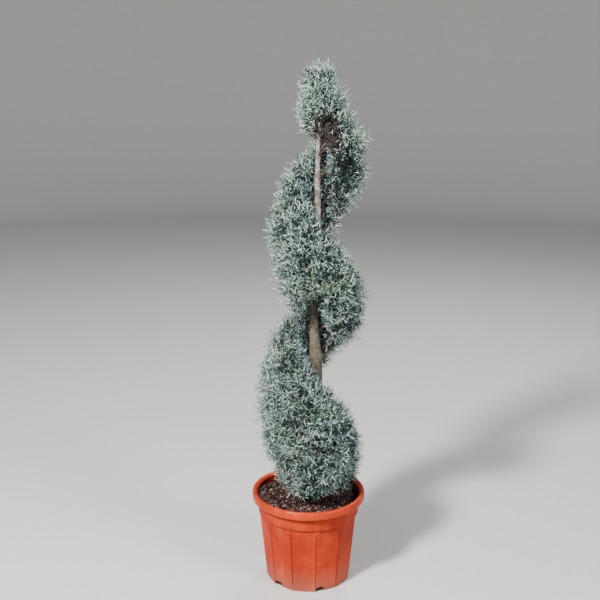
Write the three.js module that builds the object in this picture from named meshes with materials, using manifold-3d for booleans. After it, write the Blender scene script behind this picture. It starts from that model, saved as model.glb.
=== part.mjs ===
// A spiral topiary in its nursery pot: a blue cypress with one leading trunk, clipped so that
// the foliage winds round it in a band of two and a half turns and closes in a pointed top.
// Millimetres, +Z up, the front of the plant towards -Y, the origin under the middle of the pot.
import * as THREE from "three";
import { mergeVertices } from "three/addons/utils/BufferGeometryUtils.js";
import Module from "manifold-3d";

const wasm = await Module();
wasm.setup();

// Fit: the space left between pieces that touch on the real plant.
const SEAT_GAP = 0.3;

// Pot: a thin plastic tub with a rolled lip, a plain band under it and a twelve-sided wall.
const POT_HEIGHT = 310;
const LIP_RADIUS = 190;
const LIP_INNER_RADIUS = 179;
const LIP_HEIGHT = 28;
const BAND_HEIGHT = 46;
const BAND_STEP = 2.5;
const WALL_TOP_RADIUS = 174;
const WALL_BAND_RADIUS = 169;
const FOOT_RADIUS = 143.5;
const WALL_THICKNESS = 3;
const FLOOR_THICKNESS = 4;
const WALL_FACETS = 12;
const FACET_FLATNESS = 0.5;
const SEAM_TURN = -81;
const NOTCH_COUNT = 6;
const NOTCH_WIDTH = 28;
const NOTCH_HEIGHT = 17;
const NOTCH_OFFSET = 6;

// Compost: it fills the pot to a little under the rim, level where the trunk stands.
const SOIL_DROP = 35;
const SOIL_LEVEL = POT_HEIGHT - SOIL_DROP;
const SOIL_LUMP = 5;

// Trunk: girth at heights from the compost (0) to the tip (1), its lean and its slow bends.
const TIP_HEIGHT = 1714;
const GIRTHS = [
  [0, 48],
  [0.15, 43],
  [0.36, 37],
  [0.46, 24],
  [0.62, 20],
  [0.74, 17],
  [0.84, 15],
  [0.9, 10],
  [1, 4],
];
const WHORL_HEIGHT = 778;
const WHORL_RISE = 5;
const WHORL_SPREAD = 20;
const FLARE_GROWTH = 0.35;
const FLARE_HEIGHT = 26;
const LEAN_START = new THREE.Vector2(12, 2);
const LEAN_END = new THREE.Vector2(34, -4);
const BEND = 9;
const BEND_LENGTH = 0.32;
const KNOB_COUNT = 26;
const KNOB_RISE = 4;
const KNOB_SPREAD = 13;
const TRUNK_SIDES = 12;
const TRUNK_STEPS = 34;

// Spiral: heights and reach against the turn, counted from where the band first crosses the
// front. The band climbs clockwise seen from above: front, left, back, right.
const SPIRAL_START = -0.42;
const SPIRAL_END = 1.95;
const BAND_MASSES = 16;
const TOP_HEIGHT = 735;
const TOP_PITCH = 500;
const RIDGE_HEIGHT = 545;
const RIDGE_PITCH = 520;
const HEM_HEIGHT = 305;
const HEM_PITCH = 560;
const HEM_LIFT = 125;
const HEM_STEP = 30;
const REACH_LOW = 197;
const REACH_HIGH = 141;
const TOP_MASS_FOOT = 1532;
const TOP_MASS_REACH = 66;
const TOP_MASS_HEIGHT = 1728;

// Foliage: how deep the sprays stand out of each core, how close they stand, and their size.
const SPRAY_DEPTH = 40;
const SPRAY_SPACING = 53;
const SPRAY_TILT = 0.95;
const SPRAY_SINK = 10;
const SPRAY_WIDTH = 0.8;
const SPRAY_THICKNESS = 9;
const CORE_CLEAR = 30;
const CORE_INSET = 24;
const CORE_LUMP = 4;
const TUFT_RISE = 17;
const TUFT_LIFT = 12;
const SPACE_MARGIN = 0.7;
const STRAY_SHARE = 0.06;
const STRAY_GROWTH = 24;

// Boughs: one for each mass, rising out from the trunk.
const BOUGH_BASE = 13;
const BOUGH_TIP = 9;
const BOUGH_RISE = 0.62;
const STEM_TIP = 5;

const potPlastic = new THREE.MeshStandardMaterial({ color: "#c9532f", roughness: 0.45 });
const compost = new THREE.MeshStandardMaterial({ color: "#2c221d", roughness: 0.95 });
const bark = new THREE.MeshStandardMaterial({ color: "#8a7a5f", roughness: 0.9 });
const leaf = new THREE.MeshStandardMaterial({ color: "#8fa99b", roughness: 0.85 });
for (const material of [potPlastic, compost, bark, leaf]) material.metalness = 0;

const group = new THREE.Group();
group.name = "spiral_topiary";

// Helpers.

// A repeatable stream of numbers from 0 to 1.
function seeded(seed) {
  let state = seed >>> 0;
  return () => {
    state = (state + 0x6d2b79f5) >>> 0;
    let t = Math.imul(state ^ (state >>> 15), 1 | state);
    t = (t + Math.imul(t ^ (t >>> 7), 61 | t)) ^ t;
    return ((t ^ (t >>> 14)) >>> 0) / 4294967296;
  };
}

const between = (random, low, high) => low + (high - low) * random();

// Only positions, with shared corners merged, as a solid needs them.
function closed(geometry) {
  geometry.deleteAttribute("normal");
  geometry.deleteAttribute("uv");
  return mergeVertices(geometry, 1e-4);
}

function solidOf(geometry) {
  const merged = closed(geometry);
  return new wasm.Manifold(
    new wasm.Mesh({
      numProp: 3,
      vertProperties: merged.getAttribute("position").array,
      triVerts: new Uint32Array(merged.index.array),
    }),
  );
}

function geometryOf(solid) {
  const mesh = solid.getMesh();
  const corners = new Float32Array(mesh.numVert * 3);
  for (let i = 0; i < mesh.numVert; i++)
    corners.set(
      mesh.vertProperties.subarray(i * mesh.numProp, i * mesh.numProp + 3),
      i * 3,
    );
  const geometry = new THREE.BufferGeometry();
  geometry.setAttribute("position", new THREE.BufferAttribute(corners, 3));
  geometry.setIndex(new THREE.BufferAttribute(new Uint32Array(mesh.triVerts), 1));
  return geometry;
}

// A spray whose root missed its core is a loose scrap, and is left off.
function largest(solid) {
  return solid.decompose().reduce((a, b) => (b.volume() > a.volume() ? b : a));
}

function addPiece(name, geometry, material) {
  const flat = geometry.toNonIndexed();
  flat.computeVertexNormals();
  const piece = new THREE.Mesh(flat, material);
  piece.name = name;
  group.add(piece);
}

function moveCorners(geometry, place) {
  const corners = geometry.getAttribute("position");
  for (let i = 0; i < corners.count; i++) {
    const moved = place(new THREE.Vector3().fromBufferAttribute(corners, i));
    corners.setXYZ(i, moved.x, moved.y, moved.z);
  }
  return geometry;
}

// A closed limb or mass: a cylinder whose rings are laid where ring(along, turn) says. Both run
// from 0 to 1, and the two end caps close on the middle of their ring unless tips says where.
function ringed(sides, steps, ring, tips = {}) {
  const middle = (along) => {
    const sum = new THREE.Vector3();
    for (let k = 0; k < sides; k++) sum.add(ring(along, k / sides));
    return sum.divideScalar(sides);
  };
  const ends = [tips.start ?? middle(0), tips.end ?? middle(1)];
  return moveCorners(new THREE.CylinderGeometry(1, 1, 1, sides, steps), (v) => {
    const along = Math.round((v.y + 0.5) * steps) / steps;
    if (Math.hypot(v.x, v.z) < 0.5) return ends[along < 0.5 ? 0 : 1].clone();
    const turn = Math.round((Math.atan2(v.x, v.z) / (2 * Math.PI)) * sides + sides) % sides;
    return ring(along, turn / sides);
  });
}

// Pot and compost.

// The wall is flattened between its seams, and round again in the band and lip above.
function facet(x, y) {
  const step = (2 * Math.PI) / WALL_FACETS;
  const seam = THREE.MathUtils.degToRad(SEAM_TURN);
  const past = (((Math.atan2(y, x) - seam) % step) + step) % step;
  const flat = Math.cos(step / 2) / Math.cos(past - step / 2);
  return 1 - FACET_FLATNESS + FACET_FLATNESS * flat;
}

const bandFoot = POT_HEIGHT - LIP_HEIGHT - BAND_HEIGHT;
const lipFoot = POT_HEIGHT - LIP_HEIGHT;

// Wall radius at a height, from the foot to the underside of the lip.
function wallRadius(z) {
  const low = WALL_BAND_RADIUS - BAND_STEP;
  if (z <= bandFoot) return FOOT_RADIUS + ((low - FOOT_RADIUS) * z) / bandFoot;
  const share = Math.min(1, (z - bandFoot) / (lipFoot - bandFoot));
  return WALL_BAND_RADIUS + (WALL_TOP_RADIUS - WALL_BAND_RADIUS) * share;
}

const innerRadius = (z) => wallRadius(z) - WALL_THICKNESS;

function turned(profile, sides, shape) {
  const points = profile.map(([radius, z]) => new THREE.Vector2(radius, z));
  const start = THREE.MathUtils.degToRad(SEAM_TURN) + Math.PI / 2;
  const lathe = new THREE.LatheGeometry(points, sides, start);
  lathe.rotateX(Math.PI / 2);
  return moveCorners(lathe, shape);
}

function faceted(v) {
  if (v.z > bandFoot - 1 || Math.hypot(v.x, v.y) < 1) return v;
  const scale = facet(v.x, v.y);
  return v.set(v.x * scale, v.y * scale, v.z);
}

function makePot() {
  const lipMiddle = POT_HEIGHT - LIP_HEIGHT / 2;
  const profile = [
    [0, 0],
    [FOOT_RADIUS - 3, 0],
    [FOOT_RADIUS, 3],
    [wallRadius(bandFoot - 2), bandFoot - 2],
    [WALL_BAND_RADIUS, bandFoot],
    [WALL_TOP_RADIUS, lipFoot],
    [LIP_RADIUS - 4, lipFoot + 1],
    [LIP_RADIUS, lipMiddle - 7],
    [LIP_RADIUS - 0.5, lipMiddle + 4],
    [LIP_RADIUS - 5, POT_HEIGHT - 1.5],
    [LIP_RADIUS - 8, POT_HEIGHT],
    [LIP_INNER_RADIUS, POT_HEIGHT - 2.5],
    [innerRadius(lipFoot), lipFoot],
    [innerRadius(bandFoot + 1), bandFoot + 1],
    [innerRadius(bandFoot - 2), bandFoot - 2],
    [innerRadius(FLOOR_THICKNESS), FLOOR_THICKNESS],
    [0, FLOOR_THICKNESS],
  ];
  let pot = solidOf(turned(profile, WALL_FACETS * 4, faceted));
  for (let i = 0; i < NOTCH_COUNT; i++) {
    const turn = SEAM_TURN + NOTCH_OFFSET + (i * 360) / NOTCH_COUNT;
    const outline = new THREE.Shape();
    const half = NOTCH_WIDTH / 2;
    outline.moveTo(-half, -5);
    outline.lineTo(half, -5);
    outline.lineTo(half - 2, NOTCH_HEIGHT - 5);
    outline.lineTo(half - 7, NOTCH_HEIGHT);
    outline.lineTo(7 - half, NOTCH_HEIGHT);
    outline.lineTo(2 - half, NOTCH_HEIGHT - 5);
    const cutter = new THREE.ExtrudeGeometry(outline, { depth: 40, bevelEnabled: false });
    cutter.rotateX(Math.PI / 2);
    cutter.rotateZ(Math.PI / 2);
    cutter.translate(FOOT_RADIUS - 14, 0, 0);
    cutter.rotateZ(THREE.MathUtils.degToRad(turn));
    pot = pot.subtract(solidOf(cutter));
  }
  addPiece("pot", geometryOf(pot), potPlastic);
}

function makeSoil() {
  const random = seeded(11);
  const side = (z) => [innerRadius(z) - 2 * SEAT_GAP, z];
  const base = FLOOR_THICKNESS + SEAT_GAP;
  const profile = [
    [0, base],
    side(base),
    side(bandFoot - 2),
    side(bandFoot + 1),
    side(SOIL_LEVEL - 7),
    [134, SOIL_LEVEL + 1],
    [98, SOIL_LEVEL + 2],
    [62, SOIL_LEVEL],
    [0, SOIL_LEVEL],
  ];
  const lumps = new Map();
  const shape = (v) => {
    faceted(v);
    const radius = Math.hypot(v.x, v.y);
    if (v.z < SOIL_LEVEL - 8 || radius < 70) return v;
    const key = Math.round(v.x) + " " + Math.round(v.y);
    if (!lumps.has(key)) lumps.set(key, between(random, -SOIL_LUMP, SOIL_LUMP));
    v.z += radius > 145 ? 0 : lumps.get(key);
    return v;
  };
  addPiece("soil", closed(turned(profile, WALL_FACETS * 2, shape)), compost);
}

// Trunk.

// The spiral turns about a straight line that leans a little, and the trunk bends beside it.
function axisAt(z) {
  const u = (z - SOIL_LEVEL) / (TIP_HEIGHT - SOIL_LEVEL);
  return new THREE.Vector3(
    LEAN_START.x + (LEAN_END.x - LEAN_START.x) * u,
    LEAN_START.y + (LEAN_END.y - LEAN_START.y) * u,
    z,
  );
}

function trunkCentre(z) {
  const u = (z - SOIL_LEVEL) / (TIP_HEIGHT - SOIL_LEVEL);
  const swing = BEND * (1 - u);
  const phase = (2 * Math.PI * (u - 0.22)) / BEND_LENGTH;
  const ease = Math.min(1, u / 0.2);
  return axisAt(z).add(
    new THREE.Vector3(swing * Math.sin(phase) * ease, 0.6 * swing * Math.cos(phase) * ease, 0),
  );
}

function trunkRadius(z) {
  const u = THREE.MathUtils.clamp((z - SOIL_LEVEL) / (TIP_HEIGHT - SOIL_LEVEL), 0, 1);
  const next = Math.max(1, GIRTHS.findIndex(([height]) => height >= u));
  const [lowHeight, lowGirth] = GIRTHS[next - 1];
  const [highHeight, highGirth] = GIRTHS[next];
  const share = (u - lowHeight) / (highHeight - lowHeight);
  const flare = 1 + FLARE_GROWTH * Math.exp(-(z - SOIL_LEVEL) / FLARE_HEIGHT);
  return ((lowGirth + (highGirth - lowGirth) * share) / 2) * flare;
}

// Healed stubs of cut shoots stand out of the bark, most of them in one whorl low down.
const knobs = [];
{
  const random = seeded(5);
  for (let i = 0; i < KNOB_COUNT; i++) {
    const share = (i + random()) / KNOB_COUNT;
    const z = SOIL_LEVEL + 60 + (TIP_HEIGHT - SOIL_LEVEL - 260) * share;
    knobs.push({ z, turn: random(), rise: between(random, 0.4, 1) * KNOB_RISE * (1 - 0.6 * share) });
  }
}

function barkRadius(z, turn) {
  let radius = trunkRadius(z) + WHORL_RISE * Math.exp(-(((z - WHORL_HEIGHT) / WHORL_SPREAD) ** 2));
  for (const knob of knobs) {
    const round = Math.abs(((turn - knob.turn + 1.5) % 1) - 0.5) * 2 * Math.PI * radius;
    radius += knob.rise * Math.exp(-((z - knob.z) ** 2 + round ** 2) / KNOB_SPREAD ** 2);
  }
  const buttress = Math.exp(-(z - SOIL_LEVEL) / FLARE_HEIGHT) * Math.cos(turn * 2 * Math.PI * 5);
  return radius * (1 + 0.09 * buttress);
}

// Rings stand closer together in the flare at the foot.
const trunkFoot = SOIL_LEVEL + SEAT_GAP;
const trunkHeight = (along) => trunkFoot + (TIP_HEIGHT - trunkFoot) * along ** 1.25;

function makeTrunk() {
  const trunk = ringed(TRUNK_SIDES, TRUNK_STEPS, (along, turn) => {
    const z = trunkHeight(along);
    const radius = barkRadius(z, turn);
    const angle = turn * 2 * Math.PI;
    return trunkCentre(z).add(
      new THREE.Vector3(radius * Math.cos(angle), radius * Math.sin(angle), 0),
    );
  });
  addPiece("trunk", closed(trunk), bark);
}

// How far a point stands off the bark, negative inside it. The knobs count at their full rise.
function offBark(point) {
  const centre = trunkCentre(point.z);
  const across = Math.hypot(point.x - centre.x, point.y - centre.y);
  const turn = Math.atan2(point.y - centre.y, point.x - centre.x) / (2 * Math.PI);
  return across - barkRadius(point.z, (turn + 1) % 1);
}

// The shape of the clipped band.

// Where the point at a turn, a distance out from the leaning axis and a height lies.
function onBand(turn, out, z) {
  const angle = turn * 2 * Math.PI;
  return axisAt(z).add(new THREE.Vector3(-out * Math.sin(angle), -out * Math.cos(angle), 0));
}

const smooth = THREE.MathUtils.smoothstep;

// Heights of the top edge and hem at the trunk, the hem's even course without its step, and the
// height and reach of the ridge.
function band(turn) {
  const start = smooth(turn, SPIRAL_START - 0.1, SPIRAL_START + 0.34);
  const end = smooth(turn, 1.72, 2.0);
  const top = Math.min(TOP_HEIGHT + TOP_PITCH * turn, TOP_MASS_FOOT - 5) - 40 * (1 - start);
  // The second turn's hem is clipped away behind the trunk and to its right, and most of all
  // where it crosses the front of the trunk, which shows below it.
  const clipped = HEM_LIFT * smooth(turn, 0.3, 0.6) + HEM_STEP * smooth(turn, 0.955, 1.0);
  const step = clipped * (1 - smooth(turn, 1.0, 1.14));
  const climb = HEM_PITCH * Math.max(0, turn - 0.06) * smooth(turn, -0.1, 0.6);
  const course = HEM_HEIGHT + climb + 110 * end;
  const hem = course + step;
  const ridge = RIDGE_HEIGHT + RIDGE_PITCH * turn;
  const taper = (turn - SPIRAL_START) / (SPIRAL_END - SPIRAL_START);
  const reach = (REACH_LOW + (REACH_HIGH - REACH_LOW) * taper) * (0.56 + 0.44 * start);
  const swell = 14 * Math.exp(-(((turn - 0.22) / 0.2) ** 2)) + 20 * Math.exp(-(((turn - 1.76) / 0.16) ** 2));
  return {
    top,
    hem,
    course,
    ridge: THREE.MathUtils.clamp(ridge, hem + 30, top - 30),
    reach: (reach + swell) * (1 - 0.32 * end),
  };
}

// A point of the skin, or of a smaller skin inside it: round runs from -1 at the hem, through 0
// at the ridge, to 1 at the top edge, as a full rounded nose standing out from the inner face.
// The last turn slopes off above its ridge.
function skin(turn, round, shrink, inset) {
  const { top, hem, ridge, reach } = band(turn);
  const inner = trunkRadius(ridge) + CORE_CLEAR;
  const angle = (round * Math.PI) / 2;
  const fullness = round > 0 ? 0.8 + 0.75 * smooth(turn, 1.3, 1.62) : 0.8;
  const out = inner + Math.max(8, reach - shrink - inner) * Math.cos(angle) ** fullness;
  const topInset = inset * (1 - 0.8 * smooth(turn, 1.5, 1.65));
  const room = round > 0 ? top - topInset - ridge : ridge - hem - inset;
  const z = ridge + Math.max(room, 12) * Math.sign(round) * Math.abs(Math.sin(angle)) ** 0.9;
  return onBand(turn, out, z);
}

// Sprays.

// One flat spray with forward-pointing teeth: the corners of a two-row sphere become the outline
// and the two swollen faces. Its root is a narrow twig, and the flat of it faces the side vector.
function sprayBlade(root, direction, side, length, width, thickness, random) {
  const across = new THREE.Vector3().crossVectors(side, direction).normalize();
  const face = new THREE.Vector3().crossVectors(direction, across).normalize();
  const hand = random() < 0.5 ? 1 : -1;
  const outline = [
    [1, 0],
    [0.74, 0.09],
    [between(random, 0.8, 0.9), between(random, 0.24, 0.34)],
    [0.58, 0.12],
    [between(random, 0.54, 0.66), between(random, 0.38, 0.48)],
    [0, 0.02],
    [between(random, 0.62, 0.74), between(random, -0.46, -0.36)],
    [0.68, -0.11],
  ].map(([along, out]) => [along, out * hand]);
  if (hand < 0) outline.reverse();
  const blade = new THREE.SphereGeometry(1, outline.length, 2);
  return moveCorners(blade, (v) => {
    const point = root.clone();
    if (Math.abs(v.y) > 0.5)
      return point
        .addScaledVector(direction, 0.5 * length)
        .addScaledVector(face, (Math.sign(v.y) * thickness) / 2);
    const share = (Math.atan2(v.z, -v.x) / (2 * Math.PI) + 1) % 1;
    const [along, out] = outline[Math.round(share * outline.length) % outline.length];
    return point
      .addScaledVector(direction, along * length)
      .addScaledVector(across, out * width * length);
  });
}

// Twigs fork from a mass's stem by one rule: shoots run both ways along the middle of the mass,
// and twigs leave them all round, each from a place nearer the stem than the skin it grows to.
function twigs(mass, random) {
  const grown = [];
  const rows = 8;
  for (let row = 0; row < rows; row++) {
    const round = -0.97 + (1.94 * (row + 0.5)) / rows;
    const middleTurn = (mass.from + mass.to) / 2;
    const edge = skin(middleTurn, round, SPRAY_DEPTH, CORE_INSET);
    const out = Math.hypot(edge.x - axisAt(edge.z).x, edge.y - axisAt(edge.z).y);
    const arc = (mass.to - mass.from) * 2 * Math.PI * (out + 12);
    const count = Math.max(1, Math.round(arc / SPRAY_SPACING));
    for (let i = 0; i < count; i++) {
      const place = (i + 0.5 + between(random, -0.2, 0.2) + (row % 2 ? 0.18 : -0.18)) / count;
      const turn = mass.from + (mass.to - mass.from) * THREE.MathUtils.clamp(place, 0.04, 0.96);
      const lift = THREE.MathUtils.clamp(round + between(random, -0.07, 0.07), -0.99, 0.99);
      const base = skin(turn, lift, SPRAY_DEPTH, CORE_INSET);
      const tip = skin(turn, lift * 1.02, 0, 0);
      const shoot = skin(turn + 0.35 * (middleTurn - turn), lift * 0.45, SPRAY_DEPTH + 30, 60);
      const stray = random() < STRAY_SHARE ? STRAY_GROWTH : 0;
      grown.push({ base, tip, shoot, stray });
    }
  }
  return grown;
}

// Masses of the band.

// The core is tufted: every other corner of its skin stands out and up as a clump of tips.
function makeCore(mass, random) {
  const sides = 10;
  const steps = 4;
  const gap = SEAT_GAP / (2 * Math.PI * 60);
  const lumps = Array.from({ length: sides * (steps + 1) }, () => between(random, -1, 1));
  return ringed(sides, steps, (along, turn) => {
    const k = Math.round(turn * sides) % sides;
    const step = Math.round(along * steps);
    const place = mass.from + gap + (mass.to - mass.from - 2 * gap) * along;
    const round = -1 + (2 * k) / (sides - 1);
    const inside = step > 0 && step < steps && k > 0 && k < sides - 1;
    const tuft = inside && (k + step) % 2 ? TUFT_RISE : 0;
    const lump = lumps[k * steps + step] * CORE_LUMP;
    const corner = skin(place, round, SPRAY_DEPTH + lump - tuft, CORE_INSET + lump - tuft * 0.5);
    if (tuft) corner.z += TUFT_LIFT;
    return corner;
  });
}

// A spray is kept only inside its own mass's wedge of the band and clear of bark and bough.
function fits(geometry, mass) {
  const corners = geometry.getAttribute("position");
  geometry.computeBoundingBox();
  const centre = geometry.boundingBox.getCenter(new THREE.Vector3());
  for (let i = 0; i < 2 * corners.count; i++) {
    const corner = new THREE.Vector3().fromBufferAttribute(corners, i >> 1);
    if (i % 2) corner.lerp(centre, 0.5);
    const axis = axisAt(corner.z);
    const x = corner.x - axis.x;
    const y = corner.y - axis.y;
    const out = Math.hypot(x, y);
    const turn = Math.atan2(-x, -y) / (2 * Math.PI);
    const middle = (mass.from + mass.to) / 2;
    const off = turn - middle - Math.round(turn - middle);
    const margin = SPACE_MARGIN / (2 * Math.PI * out);
    if (Math.abs(off) > (mass.to - mass.from) / 2 - margin) return false;
    if (corner.z < mass.floor || corner.z > mass.ceiling) return false;
    if (offBark(corner) < 4) return false;
    const reach = corner.clone().sub(mass.boughRoot);
    const along = THREE.MathUtils.clamp(reach.dot(mass.boughDirection), 0, mass.boughLength);
    if (reach.addScaledVector(mass.boughDirection, -along).length() < BOUGH_BASE / 2 + 5) return false;
  }
  return true;
}

function sprayInto(solid, mass, twig, random) {
  const outward = new THREE.Vector3().subVectors(twig.tip, twig.shoot).normalize();
  const lean = new THREE.Vector3(
    between(random, -0.6, 0.6),
    between(random, -0.6, 0.6),
    between(random, 0.5, 1),
  ).projectOnPlane(outward);
  const direction = outward.clone().addScaledVector(lean.normalize(), SPRAY_TILT).normalize();
  const toTip = twig.tip.distanceTo(twig.base) / direction.dot(outward);
  const side = outward.clone().cross(direction).applyAxisAngle(direction, between(random, 0.9, 2.2));
  for (const scale of [1, 0.85, 0.7, 0.55]) {
    const length = (Math.max(toTip, 20) + twig.stray * scale) * scale + SPRAY_SINK;
    const root = twig.base.clone().addScaledVector(direction, -SPRAY_SINK);
    const blade = sprayBlade(
      root,
      direction,
      side,
      length,
      SPRAY_WIDTH * (twig.stray ? 0.6 : 1),
      SPRAY_THICKNESS * scale,
      random,
    );
    if (fits(blade, mass)) return solid.add(solidOf(blade));
  }
  return solid;
}

// A tapering limb. One that leaves the trunk has a collar, and its end is an upright face that
// stands a seat's gap off the bark.
function limb(start, direction, length, startWidth, endWidth, seatOnTrunk) {
  const sides = 6;
  const level = new THREE.Vector3(direction.x, direction.y, 0).normalize();
  const up = new THREE.Vector3(0, 0, 1);
  const across = new THREE.Vector3().crossVectors(up, direction).normalize();
  const over = new THREE.Vector3().crossVectors(direction, across).normalize();
  const place = (along, angle, radius) => {
    const point = start
      .clone()
      .addScaledVector(across, radius * Math.cos(angle))
      .addScaledVector(over, radius * Math.sin(angle))
      .addScaledVector(direction, length * along);
    if (seatOnTrunk && along === 0)
      point.addScaledVector(direction, -level.dot(point.clone().sub(start)) / level.dot(direction));
    return point;
  };
  return ringed(
    sides,
    2,
    (along, turn) => {
      const collar = seatOnTrunk ? 1 + 0.45 * (1 - along) ** 4 : 1;
      const radius = ((startWidth + (endWidth - startWidth) * along) / 2) * collar;
      return place(along, turn * 2 * Math.PI, radius);
    },
    { start: place(0, 0, 0), end: place(1, 0, 0) },
  );
}

function makeBandMass(index) {
  const random = seeded(100 + index);
  const share = (SPIRAL_END - SPIRAL_START) / BAND_MASSES;
  const mass = { from: SPIRAL_START + share * index, to: SPIRAL_START + share * (index + 1) };
  const middle = (mass.from + mass.to) / 2;
  const { top, course } = band(middle);
  mass.floor = SOIL_LEVEL + 14;
  mass.ceiling = TOP_MASS_FOOT - 2;

  // The bough leaves the trunk below the middle of the mass and rises into its inner face.
  const inner = trunkRadius((top + course) / 2) + CORE_CLEAR;
  const entry = course + (top - course) * between(random, 0.46, 0.56);
  const outward = onBand(middle, 1, 0).sub(axisAt(0));
  mass.boughDirection = outward.clone().add(new THREE.Vector3(0, 0, BOUGH_RISE)).normalize();
  const rootHeight = entry - inner * BOUGH_RISE;
  mass.boughRoot = trunkCentre(rootHeight);
  const girth = Math.min(1, trunkRadius(rootHeight) / 14);
  const collar = [-9, 0, 9].map((z) => new THREE.Vector3(0, 0, z * girth));
  while (collar.some((z) => offBark(mass.boughRoot.clone().add(z)) < SEAT_GAP + 0.15))
    mass.boughRoot.addScaledVector(mass.boughDirection, 0.05);
  const toInner = inner - outward.dot(mass.boughRoot.clone().sub(axisAt(mass.boughRoot.z)));
  mass.boughLength = (toInner - 9) / outward.dot(mass.boughDirection);
  const number = String(index + 1).padStart(2, "0");
  const widths = [BOUGH_BASE * girth, BOUGH_TIP * girth];
  const bough = limb(mass.boughRoot, mass.boughDirection, mass.boughLength, ...widths, true);
  addPiece("bough_" + number, closed(bough), bark);

  const stemRoot = mass.boughRoot
    .clone()
    .addScaledVector(mass.boughDirection, mass.boughLength + SEAT_GAP);
  const stem = limb(stemRoot, mass.boughDirection, 38, widths[1], STEM_TIP, false);
  let solid = solidOf(makeCore(mass, random)).add(solidOf(stem));
  for (const twig of twigs(mass, random)) solid = sprayInto(solid, mass, twig, random);
  addPiece("foliage_" + number, geometryOf(largest(solid)), leaf);
}

// The pointed top: a sleeve of core all round the leading shoot, its sprays leaning upward.
function topSkin(turn, rise, shrink) {
  const z = TOP_MASS_FOOT + 4 + (TOP_MASS_HEIGHT - TOP_MASS_FOOT - 4) * rise;
  const nose = Math.cos((Math.PI / 2) * Math.max(0, rise) ** 1.7) ** 0.8;
  const shoulder = 1 + 0.8 * Math.max(0, 1 - rise * 1.7) * Math.max(0, Math.cos(2 * Math.PI * (turn - 0.8)));
  const out = Math.max(trunkRadius(z) + 4, TOP_MASS_REACH * shoulder * nose * 0.6 ** (shrink / 40));
  return onBand(turn, out, z - 0.35 * shrink * rise);
}

function makeTopMass() {
  const random = seeded(200);
  const sides = 8;
  const steps = 3;
  const core = ringed(sides, steps, (along, turn) =>
    topSkin(-turn, 0.9 * along, SPRAY_DEPTH),
  );
  const bore = ringed(TRUNK_SIDES, 6, (along, turn) => {
    const z = TOP_MASS_FOOT - 10 + (TIP_HEIGHT + 10.5 - TOP_MASS_FOOT) * along;
    const radius = (trunkRadius(z) * 1.02 + SEAT_GAP) / Math.cos(Math.PI / TRUNK_SIDES);
    const angle = turn * 2 * Math.PI;
    const centre = trunkCentre(z);
    return centre.add(
      new THREE.Vector3(radius * Math.cos(angle), radius * Math.sin(angle), 0),
    );
  });
  let solid = solidOf(core);
  const mass = { from: -9, to: 9, floor: TOP_MASS_FOOT, ceiling: TOP_MASS_HEIGHT + 2 };
  mass.boughRoot = new THREE.Vector3(0, 0, SOIL_LEVEL);
  mass.boughDirection = new THREE.Vector3(0, 0, 1);
  mass.boughLength = 1;
  const rows = 5;
  for (let row = 0; row < rows; row++) {
    const rise = 0.02 + (0.86 * row) / (rows - 1);
    const count = Math.round(11 - 1.8 * row);
    for (let i = 0; i < count; i++) {
      const turn = (i + (row % 2) / 2 + between(random, -0.2, 0.2)) / count;
      const base = topSkin(turn, rise, SPRAY_DEPTH);
      const tip = topSkin(turn, rise + 0.12, 0);
      if (rise > 0.8) tip.z = TOP_MASS_HEIGHT - 2;
      const shoot = trunkCentre(base.z - 22);
      solid = sprayInto(solid, mass, { base, tip, shoot, stray: 0 }, random);
    }
  }
  addPiece("foliage_top", geometryOf(largest(solid.subtract(solidOf(bore)))), leaf);
}

makePot();
makeSoil();
makeTrunk();
for (let index = 0; index < BAND_MASSES; index++) makeBandMass(index);
makeTopMass();

export default group;
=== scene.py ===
# A blue cypress clipped into a spiral, standing in its nursery pot. Metres, +Z up, the front of
# the plant towards -Y, the origin under the middle of the pot.
import math

import bmesh
import bpy
import numpy as np
from mathutils import Euler, Matrix, Vector, noise


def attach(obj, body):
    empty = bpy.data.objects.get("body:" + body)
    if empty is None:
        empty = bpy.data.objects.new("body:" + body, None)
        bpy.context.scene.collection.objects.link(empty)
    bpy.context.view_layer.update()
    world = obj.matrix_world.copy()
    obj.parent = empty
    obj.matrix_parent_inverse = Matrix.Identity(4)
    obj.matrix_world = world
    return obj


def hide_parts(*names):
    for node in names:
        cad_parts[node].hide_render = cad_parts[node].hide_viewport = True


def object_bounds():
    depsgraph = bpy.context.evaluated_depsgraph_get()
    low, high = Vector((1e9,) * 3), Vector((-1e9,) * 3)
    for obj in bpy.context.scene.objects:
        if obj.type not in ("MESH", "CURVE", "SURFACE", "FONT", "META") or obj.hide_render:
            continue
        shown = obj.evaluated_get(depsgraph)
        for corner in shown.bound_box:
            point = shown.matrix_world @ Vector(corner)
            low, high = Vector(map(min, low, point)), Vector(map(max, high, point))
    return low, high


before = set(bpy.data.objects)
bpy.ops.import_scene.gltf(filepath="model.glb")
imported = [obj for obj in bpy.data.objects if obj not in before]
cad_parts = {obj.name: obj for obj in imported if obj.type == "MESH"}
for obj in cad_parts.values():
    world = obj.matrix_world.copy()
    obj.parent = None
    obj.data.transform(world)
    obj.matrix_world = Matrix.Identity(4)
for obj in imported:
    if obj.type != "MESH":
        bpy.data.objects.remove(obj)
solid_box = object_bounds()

# Camera: it stands three metres in front of the plant, as high as the pointed top, and looks
# down at it by fourteen degrees. The frame takes in the whole pot.
CAMERA_PLACE = (-0.0286, -3.02, 1.738)
CAMERA_PITCH = math.radians(14.3)
CAMERA_LENS = 58


def link(name, data):
    """A new object of the scene that shows a mesh, a camera or a lamp."""
    linked = bpy.data.objects.new(name, data)
    bpy.context.scene.collection.objects.link(linked)
    return linked


view = bpy.data.cameras.new("camera")
view.lens = CAMERA_LENS
camera = link("camera", view)
camera.location = CAMERA_PLACE
camera.rotation_euler = (math.pi / 2 - CAMERA_PITCH, 0, 0)
bpy.context.scene.camera = camera

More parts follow.
